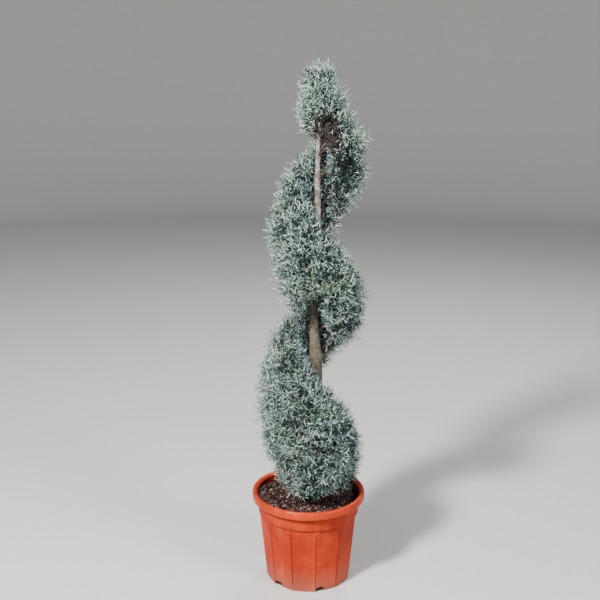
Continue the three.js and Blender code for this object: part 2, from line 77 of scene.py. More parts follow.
# Studio: a pale floor that sweeps up into a round wall, open above, with daylight coming in
# from over the plant, a soft lamp in front of it and two weaker ones beside and behind it.
FLOOR_RADIUS = 7.5
SWEEP_RADIUS = 2.0
WALL_HEIGHT = 6.5
FLOOR_COLOUR = (0.47, 0.47, 0.46)
DAYLIGHT_COLOUR = (0.93, 0.97, 1, 1)
DAYLIGHT_STRENGTH = 0.21
LAMP_AIM = Vector((0, 0, 0.9))
LAMPS = (  # the name, place, width, watts and colour of each
    ("front_lamp", (-2.2, -2.9, 3.9), 0.6, 770, (1, 0.97, 0.93)),
    ("side_lamp", (3.0, -2.6, 3.2), 1.2, 170, (0.95, 0.98, 1)),
    ("back_lamp", (1.2, 3.2, 3.8), 1.2, 120, (1, 0.98, 0.95)),
)
MERGE_DISTANCE = 1e-6


def turned(profile, steps):
    """A shape turned round the upright axis from a profile of (radius, height)."""
    shape = bmesh.new()
    points = [shape.verts.new((radius, 0, height)) for radius, height in profile]
    edges = [shape.edges.new(pair) for pair in zip(points, points[1:])]
    bmesh.ops.spin(shape, geom=points + edges, cent=(0, 0, 0), axis=(0, 0, 1), dvec=(0, 0, 0),
                   angle=2 * math.pi, steps=steps, use_merge=True, use_duplicate=False)
    bmesh.ops.remove_doubles(shape, verts=shape.verts, dist=MERGE_DISTANCE)
    bmesh.ops.recalc_face_normals(shape, faces=shape.faces)
    return shape


def smoothed(mesh, crease):
    """Shades a mesh smooth where its faces meet at less than the crease angle."""
    mesh.shade_smooth()
    mesh.set_sharp_from_angle(angle=math.radians(crease))


def finished(name, shape, material, crease=40):
    """A shape as an object with its material."""
    mesh = bpy.data.meshes.new(name)
    shape.to_mesh(mesh)
    shape.free()
    smoothed(mesh, crease)
    mesh.materials.append(material)
    return link(name, mesh)


def new_material(name, roughness, specular=0.5):
    """A material, its node tree and its shader, with a plain roughness and specular level."""
    material = bpy.data.materials.new(name)
    material.use_nodes = True
    shader = material.node_tree.nodes["Principled BSDF"]
    shader.inputs["Roughness"].default_value = roughness
    shader.inputs["Specular IOR Level"].default_value = specular
    return material, material.node_tree, shader


def feed(tree, socket, value):
    """Gives a socket a plain value, a colour, or what another node puts out."""
    if isinstance(value, bpy.types.NodeSocket):
        tree.links.new(value, socket)
    else:
        socket.default_value = (*value, 1) if socket.type == "RGBA" else value


def arc(middle, radius, start, end, steps):
    """Points of a profile round a middle (radius, height), by angles from outward to upward."""
    angles = [math.radians(start + (end - start) * i / steps) for i in range(steps + 1)]
    return [(middle[0] + radius * math.cos(a), middle[1] + radius * math.sin(a)) for a in angles]


sweep = arc((FLOOR_RADIUS, SWEEP_RADIUS), SWEEP_RADIUS, -90, 0, 16)
wall_top = (FLOOR_RADIUS + SWEEP_RADIUS, WALL_HEIGHT)
studio_shape = turned([(0, 0), *sweep, wall_top], 96)
bmesh.ops.reverse_faces(studio_shape, faces=studio_shape.faces)
floor_paint, tree, shader = new_material("floor_paint", 0.9)
feed(tree, shader.inputs["Base Color"], FLOOR_COLOUR)
studio = finished("studio_floor", studio_shape, floor_paint, 180)

world = bpy.data.worlds.new("daylight")
world.use_nodes = True
daylight = world.node_tree.nodes["Background"].inputs
daylight["Color"].default_value = DAYLIGHT_COLOUR
daylight["Strength"].default_value = DAYLIGHT_STRENGTH
bpy.context.scene.world = world

for name, place, width, watts, colour in LAMPS:
    light = bpy.data.lights.new(name, "AREA")
    light.size = width
    light.energy = watts
    light.color = colour
    lamp = link(name, light)
    lamp.location = place
    lamp.rotation_euler = (Vector(place) - LAMP_AIM).to_track_quat("Z", "Y").to_euler()

# Pot: a thin tub moulded in terracotta-coloured plastic. It has a rolled lip, a plain band that
# stands out under it, a wall of twelve flats with a groove at each seam, and six drain notches
# at the foot. It stands on its flat underside, scuffed and a little dusty.
POT_HEIGHT = 0.310
LIP_RADIUS = 0.190
LIP_HEIGHT = 0.028
LIP_LOWER_ROUND = 0.0032
LIP_UPPER_ROUND = 0.0068
BAND_HEIGHT = 0.046
BAND_STEP = 0.0025
BAND_ROUND = 0.0008
WALL_TOP_RADIUS = 0.174
WALL_BAND_RADIUS = 0.169
WALL_THICKNESS = 0.003
WALL_FACETS = 12
FACET_ANGLE = 2 * math.pi / WALL_FACETS
FACET_FLATNESS = 0.75
FOOT_RADIUS = 0.1435
FOOT_ROUND = 0.003
FLOOR_THICKNESS = 0.004
FLOOR_RING = 0.07
SEAM_TURN = math.radians(-81)
SEAM_HALF_WIDTH = math.radians(0.4)
SEAM_DEPTH = 0.0020
SEAM_FOOT = 0.012
NOTCH_COUNT = 6
NOTCH_WIDTH = 0.028
NOTCH_HEIGHT = 0.017
NOTCH_LENGTH = 0.04
NOTCH_ROUND = 0.006
NOTCH_OFFSET = math.radians(6)
POT_STEPS = 360
POT_CREASE = 32
POT_SPECULAR = 0.14
WALL_ROUGHNESS = 0.60
LIP_ROUGHNESS = 0.28
POT_COLOURS = ((0.26, 0.017, 0.003), (0.42, 0.033, 0.006), (0.54, 0.056, 0.014))
DUST_COLOUR = (0.30, 0.20, 0.14)
DUST_HEIGHT = 0.09
SCUFF_COLOUR = (0.70, 0.20, 0.09)
# Painted shade: the seam grooves and thin rings under the band step and under the lip are coloured dark,
# where shade falls in those recesses.
GROOVE_SHADE_COLOUR = (0.060, 0.006, 0.002)
GROOVE_SHADE_STRENGTH = 0.75

band_foot = POT_HEIGHT - LIP_HEIGHT - BAND_HEIGHT
lip_foot = POT_HEIGHT - LIP_HEIGHT


def wall_radius(height):
    """The outer radius of the wall, or of the band above it."""
    if height <= band_foot:
        low = WALL_BAND_RADIUS - BAND_STEP
        return FOOT_RADIUS + (low - FOOT_RADIUS) * height / band_foot
    share = min(1, (height - band_foot) / (lip_foot - band_foot))
    return WALL_BAND_RADIUS + (WALL_TOP_RADIUS - WALL_BAND_RADIUS) * share


def inside_wall(height, gap=0.0):
    """A point of a profile on the inner side of the wall, or a gap away from it."""
    return wall_radius(height) - WALL_THICKNESS - gap, height


def past_seam(x, y):
    """The angle from a place on the wall back to the last seam."""
    return (math.atan2(y, x) - SEAM_TURN) % FACET_ANGLE


def on_seam(x, y):
    past = past_seam(x, y)
    return min(past, FACET_ANGLE - past) < SEAM_HALF_WIDTH


def flattened(shape, seam_depth=0.0):
    """Flattens the wall under the band between its seams, and cuts a shallow groove at each."""
    for corner in shape.verts:
        x, y, height = corner.co
        radius = math.hypot(x, y)
        if height > band_foot - 0.001 or radius < 0.001:
            continue
        flat = math.cos(FACET_ANGLE / 2) / math.cos(past_seam(x, y) - FACET_ANGLE / 2)
        scale = 1 - FACET_FLATNESS + FACET_FLATNESS * flat
        clear_of_ends = SEAM_FOOT < height < band_foot - 0.007
        if on_seam(x, y) and clear_of_ends and radius > wall_radius(height) - 0.002:
            scale -= seam_depth / radius
        corner.co.x *= scale
        corner.co.y *= scale


def evenly(start, end, steps):
    """The points between two points of a profile that part their distance into even steps."""
    return [(start[0] + (end[0] - start[0]) * i / steps, start[1] + (end[1] - start[1]) * i / steps)
            for i in range(1, steps)]


foot_corner = arc((FOOT_RADIUS - FOOT_ROUND, FOOT_ROUND), FOOT_ROUND, -90, 0, 4)
below_band = (wall_radius(band_foot - 0.005), band_foot - 0.005)
under_band = (wall_radius(band_foot - 0.0015), band_foot - 0.0015)
band_corner = arc((WALL_BAND_RADIUS - BAND_ROUND, band_foot + BAND_ROUND), BAND_ROUND, -90, 0, 3)
lip_middle = POT_HEIGHT - LIP_HEIGHT / 2
lip_profile = [
    (WALL_TOP_RADIUS, lip_foot - 0.0015),
    (WALL_TOP_RADIUS + 0.001, lip_foot + 0.0005),
    (LIP_RADIUS - 0.0042, lip_foot + 0.0008),
    *arc((LIP_RADIUS - 0.0038, lip_foot + 0.0042), LIP_LOWER_ROUND, -80, -8, 4),
    (LIP_RADIUS, lip_middle - 0.003),
    (LIP_RADIUS - 0.0003, lip_middle + 0.003),
    *arc((LIP_RADIUS - 0.0075, POT_HEIGHT - LIP_UPPER_ROUND), LIP_UPPER_ROUND, 18, 112, 9),
    (LIP_RADIUS - 0.0125, POT_HEIGHT - 0.0016),
    (WALL_TOP_RADIUS - WALL_THICKNESS + 0.0012, POT_HEIGHT - 0.0075),
    (WALL_TOP_RADIUS - WALL_THICKNESS, lip_foot),
]
pot_profile = [
    (0, 0),
    (FLOOR_RING, 0),
    *foot_corner,
    *evenly(foot_corner[-1], below_band, 14),
    below_band,
    under_band,
    *band_corner,
    *evenly(band_corner[-1], lip_profile[0], 5),
    *lip_profile,
    inside_wall(band_foot + 0.001),
    inside_wall(band_foot - 0.002),
    inside_wall(FLOOR_THICKNESS),
    (FLOOR_RING, FLOOR_THICKNESS),
    (0, FLOOR_THICKNESS),
]
pot_shape = turned(pot_profile, POT_STEPS)
flattened(pot_shape, SEAM_DEPTH)


def add(tree, kind, inputs=(), **settings):
    """A new node with its settings, its inputs fed by name or by number."""
    node = tree.nodes.new("ShaderNode" + kind)
    for label, value in settings.items():
        setattr(node, label, value)
    for label, value in dict(inputs).items():
        feed(tree, node.inputs[label], value)
    return node.outputs


def weathering_group():
    """Patches and streaks over a surface: a soft mask of stains, one of fine specks, and a height."""
    group = bpy.data.node_groups.new("weathering", "ShaderNodeTree")
    for label, kind in (("Scale", "Float"), ("Stretch", "Vector"), ("Patchiness", "Float")):
        group.interface.new_socket(label, in_out="INPUT", socket_type="NodeSocket" + kind)
    for label in ("Stains", "Specks", "Height"):
        group.interface.new_socket(label, in_out="OUTPUT", socket_type="NodeSocketFloat")
    given = group.nodes.new("NodeGroupInput").outputs
    result = group.nodes.new("NodeGroupOutput").inputs
    place = add(group, "TexCoord")["Object"]
    place = add(group, "Mapping", {"Vector": place, "Scale": given["Stretch"]})["Vector"]
    finer = add(group, "Math", {0: given["Scale"], 1: 11}, operation="MULTIPLY")[0]
    broad = add(group, "TexNoise",
                {"Vector": place, "Scale": given["Scale"], "Detail": 5, "Roughness": 0.62})
    fine = add(group, "TexNoise", {"Vector": place, "Scale": finer, "Detail": 4})
    limits = {"Value": broad["Fac"], "From Min": given["Patchiness"], "From Max": 0.72}
    stains = add(group, "MapRange", limits, interpolation_type="SMOOTHSTEP")
    specks = add(group, "MapRange", {"Value": fine["Fac"], "From Min": 0.58, "From Max": 0.72})
    feed(group, result["Stains"], stains["Result"])
    feed(group, result["Specks"], specks["Result"])
    feed(group, result["Height"], fine["Fac"])
    return group


weathering = weathering_group()


def weathered(tree, scale, patchiness, stretch=(1, 1, 1)):
    return add(tree, "Group", {"Scale": scale, "Stretch": stretch, "Patchiness": patchiness},
               node_tree=weathering)


def ranged(tree, value, low, high, to_low=0.0, to_high=1.0):
    """A value stretched from its range low to high onto another range, and held there."""
    ends = {"From Min": low, "From Max": high, "To Min": to_low, "To Max": to_high}
    return add(tree, "MapRange", {"Value": value, **ends})["Result"]


def product(tree, first, second):
    return add(tree, "Math", {0: first, 1: second}, operation="MULTIPLY")[0]


def layered(tree, shader, colour, *layers):
    """Colours the shader: a ground colour, and others laid over it where their masks say."""
    for mask, over in layers:
        colour = add(tree, "Mix", {"Factor": mask, "A": colour, "B": over}, data_type="RGBA")["Result"]
    feed(tree, shader.inputs["Base Color"], colour)


def bumped(tree, shader, height, strength, distance):
    relief = add(tree, "Bump", {"Height": height, "Strength": strength, "Distance": distance})
    feed(tree, shader.inputs["Normal"], relief["Normal"])


def height_of(tree):
    """The height of a place above the ground, from the object's own coordinates."""
    return add(tree, "SeparateXYZ", {"Vector": add(tree, "TexCoord")["Object"]})["Z"]


pot_plastic, tree, shader = new_material("pot_plastic", WALL_ROUGHNESS, POT_SPECULAR)
fading = weathered(tree, 7, 0.36)
streaks = weathered(tree, 3, 0.45, stretch=(11, 11, 0.9))
scuffs = weathered(tree, 26, 0.56, stretch=(1, 1, 0.35))
height = height_of(tree)
dusty = ranged(tree, height, DUST_HEIGHT, 0.0, 0.0, 0.55)
layered(
    tree, shader, POT_COLOURS[0],
    (fading["Stains"], POT_COLOURS[1]),
    (ranged(tree, streaks["Stains"], 0, 1, 0, 0.3), POT_COLOURS[2]),
    (product(tree, dusty, scuffs["Height"]), DUST_COLOUR),
    (ranged(tree, scuffs["Stains"], 0, 1, 0, 0.12), SCUFF_COLOUR),
    # painted shade in the seam grooves and under the band step and the lip
    (add(tree, "Attribute", attribute_name="painted_groove_shade")["Fac"], GROOVE_SHADE_COLOUR),
)
worn_lip = ranged(tree, height, lip_foot, lip_foot + 0.008, WALL_ROUGHNESS, LIP_ROUGHNESS)
feed(tree, shader.inputs["Roughness"], worn_lip)
bumped(tree, shader, scuffs["Height"], 0.12, 0.0006)

pot = finished("nursery_pot", pot_shape, pot_plastic, POT_CREASE)
cutter_shape = bmesh.new()
for index in range(NOTCH_COUNT):
    turn = SEAM_TURN + NOTCH_OFFSET + index * 2 * math.pi / NOTCH_COUNT
    middle = Matrix.Rotation(turn, 4, "Z") @ Matrix.Translation((FOOT_RADIUS + 0.006, 0, 0.001))
    size = Matrix.Diagonal((NOTCH_LENGTH, NOTCH_WIDTH, 2 * NOTCH_HEIGHT - 0.002, 1))
    block = bmesh.ops.create_cube(cutter_shape, size=1, matrix=middle @ size)
    corners = set(block["verts"])
    along = Matrix.Rotation(turn, 3, "Z") @ Vector((1, 0, 0))
    upper = [edge for edge in cutter_shape.edges if set(edge.verts) <= corners
             and abs((edge.verts[0].co - edge.verts[1].co).normalized().dot(along)) > 0.9
             and edge.verts[0].co.z > 0]
    bmesh.ops.bevel(cutter_shape, geom=upper, offset=NOTCH_ROUND, affect="EDGES", segments=4,
                    profile=0.5, material=-1)
cutter = finished("notch_cutter", cutter_shape, pot_plastic)
notches = pot.modifiers.new("notches", "BOOLEAN")
notches.operation = "DIFFERENCE"
notches.object = cutter
pot_whole = bpy.data.meshes.new_from_object(pot.evaluated_get(bpy.context.evaluated_depsgraph_get()))
pot.modifiers.clear()
pot.data = pot_whole
smoothed(pot_whole, POT_CREASE)
bpy.data.objects.remove(cutter)
# Marks the seam grooves and the rings under the band step and the lip, which get painted shade.
painted_groove_shade = pot_whole.attributes.new("painted_groove_shade", "FLOAT", "POINT")
for corner, painted_shade in zip(pot_whole.vertices, painted_groove_shade.data):
    x, y, height = corner.co
    radius = math.hypot(x, y)
    in_seam = on_seam(x, y) and SEAM_FOOT < height < band_foot - 0.006
    under_edge = abs(height - band_foot + 0.001) < 0.0012 or abs(height - lip_foot) < 0.0018
    under_edge = under_edge and radius < WALL_TOP_RADIUS + 0.002
    painted_shade.value = GROOVE_SHADE_STRENGTH * (radius > wall_radius(height) - 0.0042 and (in_seam or under_edge))
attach(pot, "root")
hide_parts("pot")

# Compost: a dark mix of peat and composted bark, filled to a little under the rim, uneven, and
# heaped against the wall on one side. Chips of bark, bits of straw and a few pale stones lie
# on it.
SOIL_LEVEL = 0.275
SOIL_CLEAR = 0.0006
SOIL_GRAINS = ((31, 0.0055), (83, 0.0036), (200, 0.0026))  # how close together, and how high
EDGE_DIP = 0.006
EDGE_DIP_START = 0.13
EDGE_DIP_WIDTH = 0.04
HEAP_RISE = 0.029
HEAP_TURN = math.radians(200)
HEAP_START = 0.06
HEAP_WIDTH = 0.09
CALM_EDGE = 0.172
CALM_WIDTH = 0.02
CALM_SHARE = 0.25
SOIL_RINGS = 64
PEAT = (0.011, 0.005, 0.005)
DRY_PEAT = (0.060, 0.028, 0.026)
CRUMB_COLOUR = (0.19, 0.105, 0.095)
CHIP_COLOURS = {"dark": (0.014, 0.006, 0.006), "brown": (0.060, 0.024, 0.021),
                "grey": (0.17, 0.080, 0.066), "pale": (0.40, 0.25, 0.21)}
CHIP_COUNT = 2600
STONE_COLOUR = (0.52, 0.46, 0.40)
STONE_COUNT = 70
STRAW_COLOUR = (0.42, 0.31, 0.18)
STRAW_COUNT = 60


def heap(x, y):
    """How far the compost is heaped up against one side of the wall."""
    side = np.maximum(0, np.cos(np.arctan2(y, x) - HEAP_TURN)) ** 1.5
    return HEAP_RISE * side * np.clip((np.hypot(x, y) - HEAP_START) / HEAP_WIDTH, 0, 1)


def soil_height(x, y):
    """The uneven top of the compost, a little lower at the wall but heaped on one side."""
    radius = math.hypot(x, y)
    place = Vector((x, y, 0.3))
    lumps = sum(rise * noise.noise(place * closeness) for closeness, rise in SOIL_GRAINS)
    dip = EDGE_DIP * min(1, max(0, (radius - EDGE_DIP_START) / EDGE_DIP_WIDTH)) ** 2
    calm = min(1, max(CALM_SHARE, (CALM_EDGE - radius) / CALM_WIDTH))
    return SOIL_LEVEL + 0.0015 - dip + heap(x, y) + lumps * calm


soil_edge = inside_wall(SOIL_LEVEL - 0.006, SOIL_CLEAR)[0]
soil_side = [inside_wall(height, SOIL_CLEAR)
             for height in (FLOOR_THICKNESS + 0.0003, band_foot - 0.002, band_foot + 0.001)]
soil_top = [(soil_edge * (1 - i / SOIL_RINGS), SOIL_LEVEL) for i in range(SOIL_RINGS + 1)]
soil_shape = turned([(0, soil_side[0][1]), *soil_side, *soil_top], 220)
flattened(soil_shape)
for corner in soil_shape.verts:
    if corner.co.z > SOIL_LEVEL - 0.001:
        corner.co.z = soil_height(corner.co.x, corner.co.y)

compost, tree, shader = new_material("compost", 0.95, 0.12)
crumbs = weathered(tree, 42, 0.4)
grit = weathered(tree, 150, 0.5)
layered(tree, shader, PEAT, (crumbs["Stains"], DRY_PEAT), (grit["Specks"], CRUMB_COLOUR))
bumped(tree, shader, grit["Height"], 0.7, 0.002)
soil = finished("compost", soil_shape, compost, 60)
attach(soil, "root")
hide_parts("soil")


def speckled(name, colour, scale=90, contrast=0.35, depth=0.0004):
    """A dry matt material of one colour, mottled darker, with a fine grain in relief."""
    material, tree, shader = new_material(name, 0.8, 0.2)
    mottle = weathered(tree, scale, 0.38)
    darker = tuple(part * contrast for part in colour)
    layered(tree, shader, darker, (mottle["Stains"], colour))
    bumped(tree, shader, mottle["Height"], 0.6, depth)
    return material


def merged(parts):
    """Arrays of several meshes put into one: corners, faces and the material of each face."""
    all_corners, all_faces, all_dealt = zip(*parts)
    offsets = np.cumsum([0] + [len(corners) for corners in all_corners])
    return (np.concatenate(all_corners),
            np.concatenate([faces + offset for faces, offset in zip(all_faces, offsets)]),
            np.concatenate(all_dealt))


def joined(name, corners, faces, dealt, materials):
    """One mesh object from arrays of corners and three-cornered faces, its materials dealt out."""
    mesh = bpy.data.meshes.new(name)
    mesh.vertices.add(len(corners))
    mesh.vertices.foreach_set("co", np.ascontiguousarray(corners, np.float32).ravel())
    mesh.loops.add(3 * len(faces))
    mesh.loops.foreach_set("vertex_index", np.ascontiguousarray(faces, np.int32).ravel())
    mesh.polygons.add(len(faces))
    mesh.polygons.foreach_set("loop_start", np.arange(0, 3 * len(faces), 3, dtype=np.int32))
    mesh.polygons.foreach_set("material_index", np.ascontiguousarray(dealt, np.int32))
    mesh.update(calc_edges=True)
    for material in materials:
        mesh.materials.append(material)
    return link(name, mesh)


def strewn(name, shape, sizes, materials, seed, count, reach):
    """Copies of a small bit lying anywhere on the compost, turned and sized at random."""
    bmesh.ops.triangulate(shape, faces=shape.faces)
    shape.verts.index_update()
    corners = np.array([corner.co for corner in shape.verts])
    faces = np.array([[corner.index for corner in face.verts] for face in shape.faces])
    shape.free()
    random = np.random.default_rng(seed)
    parts = []
    for _ in range(count):
        out, around = reach * math.sqrt(random.random()), 2 * math.pi * random.random()
        x, y = out * math.cos(around), out * math.sin(around)
        size = random.uniform(*sizes)
        tilt = Euler((random.normal(0, 0.35), random.normal(0, 0.35), 2 * math.pi * random.random()))
        bit = corners * size * (1, random.uniform(0.2, 0.6), random.uniform(0.4, 1))
        height = soil_height(x, y) + 0.25 * size * abs(corners[:, 2]).max()
        dealt = np.full(len(faces), int(len(materials) * random.random() ** 2.3))
        parts.append((bit @ np.array(tilt.to_matrix()).T + (x, y, height), faces, dealt))
    return joined(name, *merged(parts), materials)


chip_shape, stone_shape, straw_shape = bmesh.new(), bmesh.new(), bmesh.new()
bmesh.ops.create_icosphere(chip_shape, subdivisions=1, radius=1, matrix=Matrix.Diagonal((1, 1, 0.4, 1)))
bmesh.ops.create_icosphere(stone_shape, subdivisions=2, radius=1, matrix=Matrix.Diagonal((1, 1, 0.75, 1)))
bmesh.ops.create_cone(straw_shape, cap_ends=True, segments=5, radius1=0.05, radius2=0.035, depth=2,
                      matrix=Matrix.Rotation(math.pi / 2, 4, "Y"))
chip_materials = [speckled("bark_chip_" + tone, colour) for tone, colour in CHIP_COLOURS.items()]
bits = [
    strewn("bark_chips", chip_shape, (0.0016, 0.0072), chip_materials, 21, CHIP_COUNT, 0.163),
    strewn("stones", stone_shape, (0.0013, 0.0036), [speckled("stone", STONE_COLOUR)],
           22, STONE_COUNT, 0.16),
    strewn("straws", straw_shape, (0.006, 0.016), [speckled("straw", STRAW_COLOUR)],
           23, STRAW_COUNT, 0.152),
]
for piece in bits:
    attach(piece, "root")

# Trunk: one leading stem, flared at the compost and drawn out to a thin leader. Its bark is thin
# and flaky, grey tan tinged with green low down and reddish at the tip, with a healed knob
# wherever a shoot was cut off.
TIP_HEIGHT = 1.714
GIRTH_PLACES = (0, 0.15, 0.36, 0.46, 0.62, 0.74, 0.84, 0.9, 1)
GIRTHS = (0.048, 0.043, 0.037, 0.024, 0.020, 0.017, 0.015, 0.010, 0.004)
FLARE_GROWTH = 0.35
FLARE_HEIGHT = 0.026
BUTTRESSES = 5
BUTTRESS_GROWTH = 0.09
LEAN_START = np.array((0.012, 0.002))
LEAN_END = np.array((0.034, -0.004))
BEND = 0.009
BEND_LENGTH = 0.32
KNOB_COUNT = 26
KNOB_SEED = 5
KNOB_RISE = 0.004
KNOB_SPREAD = 0.013
KNOB_SPAN = 0.04
KNOB_FOOT = 0.060
KNOB_END = 0.200
WHORL_HEIGHT = 0.778
WHORL_RISE = 0.005
WHORL_SPREAD = 0.020
TRUNK_SINK = 0.003
BARK_RELIEF = 0.0009
BARK_CREASE = 70
BARK_COLOURS = (  # by their share of the height
    (0, (0.074, 0.050, 0.030)), (0.3, (0.070, 0.056, 0.031)), (0.5, (0.080, 0.065, 0.043)),
    (0.68, (0.150, 0.122, 0.116)), (0.8, (0.136, 0.104, 0.098)), (0.87, (0.075, 0.042, 0.036)),
    (1, (0.085, 0.034, 0.024)),
)
FLAKE_COLOUR = (0.48, 0.44, 0.425)
FLAKE_HEIGHTS = (0.85, 1.25)
MOSS_COLOUR = (0.036, 0.043, 0.014)
MOSS_HEIGHTS = (1.25, 0.75)
SCAR_COLOUR = (0.045, 0.030, 0.022)


def seeded(seed):
    """A repeatable stream of numbers from 0 to 1."""
    state = seed

    def draw():
        nonlocal state
        state = (state + 0x6D2B79F5) & 0xFFFFFFFF
        mixed = ((state ^ (state >> 15)) * (1 | state)) & 0xFFFFFFFF
        mixed = ((mixed + (mixed ^ (mixed >> 7)) * (61 | mixed)) & 0xFFFFFFFF) ^ mixed
        return (mixed ^ (mixed >> 14)) / 4294967296

    return draw


def up_stem(height):
    return (np.asarray(height, float) - SOIL_LEVEL) / (TIP_HEIGHT - SOIL_LEVEL)


def axis_at(height):
    """The straight leaning line that the spiral turns about, at one height or many."""
    share = up_stem(height)[..., None]
    level = LEAN_START + (LEAN_END - LEAN_START) * share
    return np.concatenate((level, np.asarray(height, float)[..., None]), -1)


def trunk_centre(height):
    """The middle of the trunk, which winds gently about the leaning line."""
    share = up_stem(height)
    swing, phase = BEND * (1 - share), 2 * math.pi * (share - 0.22) / BEND_LENGTH
    ease = np.minimum(1, share / 0.2)
    centre = axis_at(height)
    centre[..., 0] += swing * np.sin(phase) * ease
    centre[..., 1] += 0.6 * swing * np.cos(phase) * ease
    return centre


def trunk_radius(height):
    girth = np.interp(up_stem(height), GIRTH_PLACES, GIRTHS)
    above = np.maximum(np.asarray(height, float) - SOIL_LEVEL, 0)
    return girth / 2 * (1 + FLARE_GROWTH * np.exp(-above / FLARE_HEIGHT))


draw = seeded(KNOB_SEED)
knobs = []
for index in range(KNOB_COUNT):
    share = (index + draw()) / KNOB_COUNT
    knob_height = SOIL_LEVEL + KNOB_FOOT + (TIP_HEIGHT - SOIL_LEVEL - KNOB_FOOT - KNOB_END) * share
    knob_turn = draw()
    knobs.append((knob_height, knob_turn, (0.4 + 0.6 * draw()) * KNOB_RISE * (1 - 0.6 * share)))


def bark_radius(height, turn):
    """The trunk's radius with its whorl, its knobs and the buttresses of its foot."""
    radius = float(trunk_radius(height))
    radius += WHORL_RISE * math.exp(-(((height - WHORL_HEIGHT) / WHORL_SPREAD) ** 2))
    for knob_height, knob_turn, rise in knobs:
        if abs(height - knob_height) < KNOB_SPAN:
            across = abs((turn - knob_turn + 1.5) % 1 - 0.5) * 2 * math.pi * radius
            radius += rise * math.exp(-((height - knob_height) ** 2 + across**2) / KNOB_SPREAD**2)
    buttress = math.exp(-(height - SOIL_LEVEL) / FLARE_HEIGHT) * math.cos(turn * 2 * math.pi * BUTTRESSES)
    return radius * (1 + BUTTRESS_GROWTH * buttress)


def limb(shape, sides, rings, place):
    """Adds a closed limb to a shape: a grid rolled up to where place(along, turn) says."""
    grid = bmesh.ops.create_grid(shape, x_segments=sides, y_segments=rings, size=0.5)["verts"]
    for corner in grid:
        corner.co = place(corner.co.y + 0.5, corner.co.x + 0.5)
    bmesh.ops.remove_doubles(shape, verts=grid, dist=MERGE_DISTANCE)
    ends = [edge for edge in shape.edges if edge.is_boundary]
    bmesh.ops.holes_fill(shape, edges=ends, sides=0)


def trunk_place(along, turn):
    foot = SOIL_LEVEL - TRUNK_SINK
    height = foot + (TIP_HEIGHT - SOIL_LEVEL + TRUNK_SINK) * along**1.2
    turn %= 1
    angle = 2 * math.pi * turn
    level = Vector((math.cos(angle), math.sin(angle), 0))
    grain = noise.noise(Vector((level.x * 3.2, level.y * 3.2, height * 26)))
    flakes = noise.noise(Vector((level.x * 9, level.y * 9, height * 90)))
    relief = BARK_RELIEF * (grain + 0.6 * flakes) * min(1, (TIP_HEIGHT - height) / 0.3)
    return Vector(trunk_centre(height)) + level * (bark_radius(height, turn) + relief)


trunk_shape = bmesh.new()
limb(trunk_shape, 40, 340, trunk_place)
bmesh.ops.recalc_face_normals(trunk_shape, faces=trunk_shape.faces)

bark, tree, shader = new_material("trunk_bark", 0.85)
flaking = weathered(tree, 120, 0.40, stretch=(1, 1, 0.5))
moss = weathered(tree, 22, 0.38, stretch=(1, 1, 0.6))
rings_of_scars = weathered(tree, 45, 0.38, stretch=(0.5, 0.5, 2.6))
height = height_of(tree)
by_height = add(tree, "ValToRGB", {"Fac": ranged(tree, height, SOIL_LEVEL, TIP_HEIGHT)})["Color"]
ramp = by_height.node.color_ramp
for share, colour in BARK_COLOURS[1:-1]:
    ramp.elements.new(share).color = (*colour, 1)
ramp.elements[0].color = (*BARK_COLOURS[0][1], 1)
ramp.elements[len(BARK_COLOURS) - 1].color = (*BARK_COLOURS[-1][1], 1)
layered(
    tree, shader, by_height,
    (product(tree, flaking["Stains"], ranged(tree, height, *FLAKE_HEIGHTS, 0.20, 0.95)), FLAKE_COLOUR),
    (product(tree, ranged(tree, height, *MOSS_HEIGHTS, 0, 0.8), moss["Stains"]), MOSS_COLOUR),
    (ranged(tree, rings_of_scars["Stains"], 0, 1, 0, 0.7), SCAR_COLOUR),
)
bumped(tree, shader, flaking["Height"], 0.8, 0.0024)

trunk = finished("trunk_stem", trunk_shape, bark, BARK_CREASE)
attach(trunk, "root")
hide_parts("trunk")

# Boughs: one for each sixteenth of the band of foliage, grown out of the trunk with a collar and
# rising to the middle of its mass, where it forks. Their bark is smoother and redder.
SPIRAL_START = -0.42
SPIRAL_END = 1.95
START_TURNS = (SPIRAL_START - 0.1, SPIRAL_START + 0.34)
START_DROP = 0.04
END_TURNS = (1.72, 2.0)
END_SHRINK = 0.32
BAND_MASSES = 16
TOP_HEIGHT = 0.735
TOP_PITCH = 0.5
BAND_TOP_GAP = 0.005
RIDGE_HEIGHT = 0.545
RIDGE_PITCH = 0.52
HEM_HEIGHT = 0.305
HEM_PITCH = 0.56
CLIMB_START = 0.06
CLIMB_TURNS = (-0.1, 0.6)
HEM_LIFT = 0.125
LIFT_TURNS = (0.3, 0.6)
HEM_STEP = 0.030
STEP_TURNS = (0.955, 1.0)
RETURN_TURNS = (1.0, 1.14)
HEM_END_RISE = 0.11
REACH_LOW = 0.197
REACH_DROP = 0.056
SWELLS = ((0.22, 0.2, 0.014), (1.76, 0.16, 0.02))  # the middle, width and growth of each
EDGE_ROOM = 0.03
FULLNESS = 0.8
SLOPE_GROWTH = 0.75
SLOPE_TURNS = (1.3, 1.62)
TOP_MASS_FOOT = 1.532
TOP_MASS_GAP = 0.004
TOP_MASS_REACH = 0.066
TOP_MASS_HEIGHT = 1.728
CORE_CLEAR = 0.030
BOUGH_SEED = 100
BOUGH_BASE = 0.013
BOUGH_TIP = 0.009
BOUGH_RISE = 0.62
BOUGH_REACH = 0.035
BOUGH_BEND = 0.006
THIN_TRUNK = 0.014
COLLAR_GROWTH = 0.7
COLLAR_LENGTH = 0.009
BOUGH_COLOUR = (0.066, 0.045, 0.037)


def smooth(value, low, high):
    share = np.clip((value - low) / (high - low), 0, 1)
    return share * share * (3 - 2 * share)


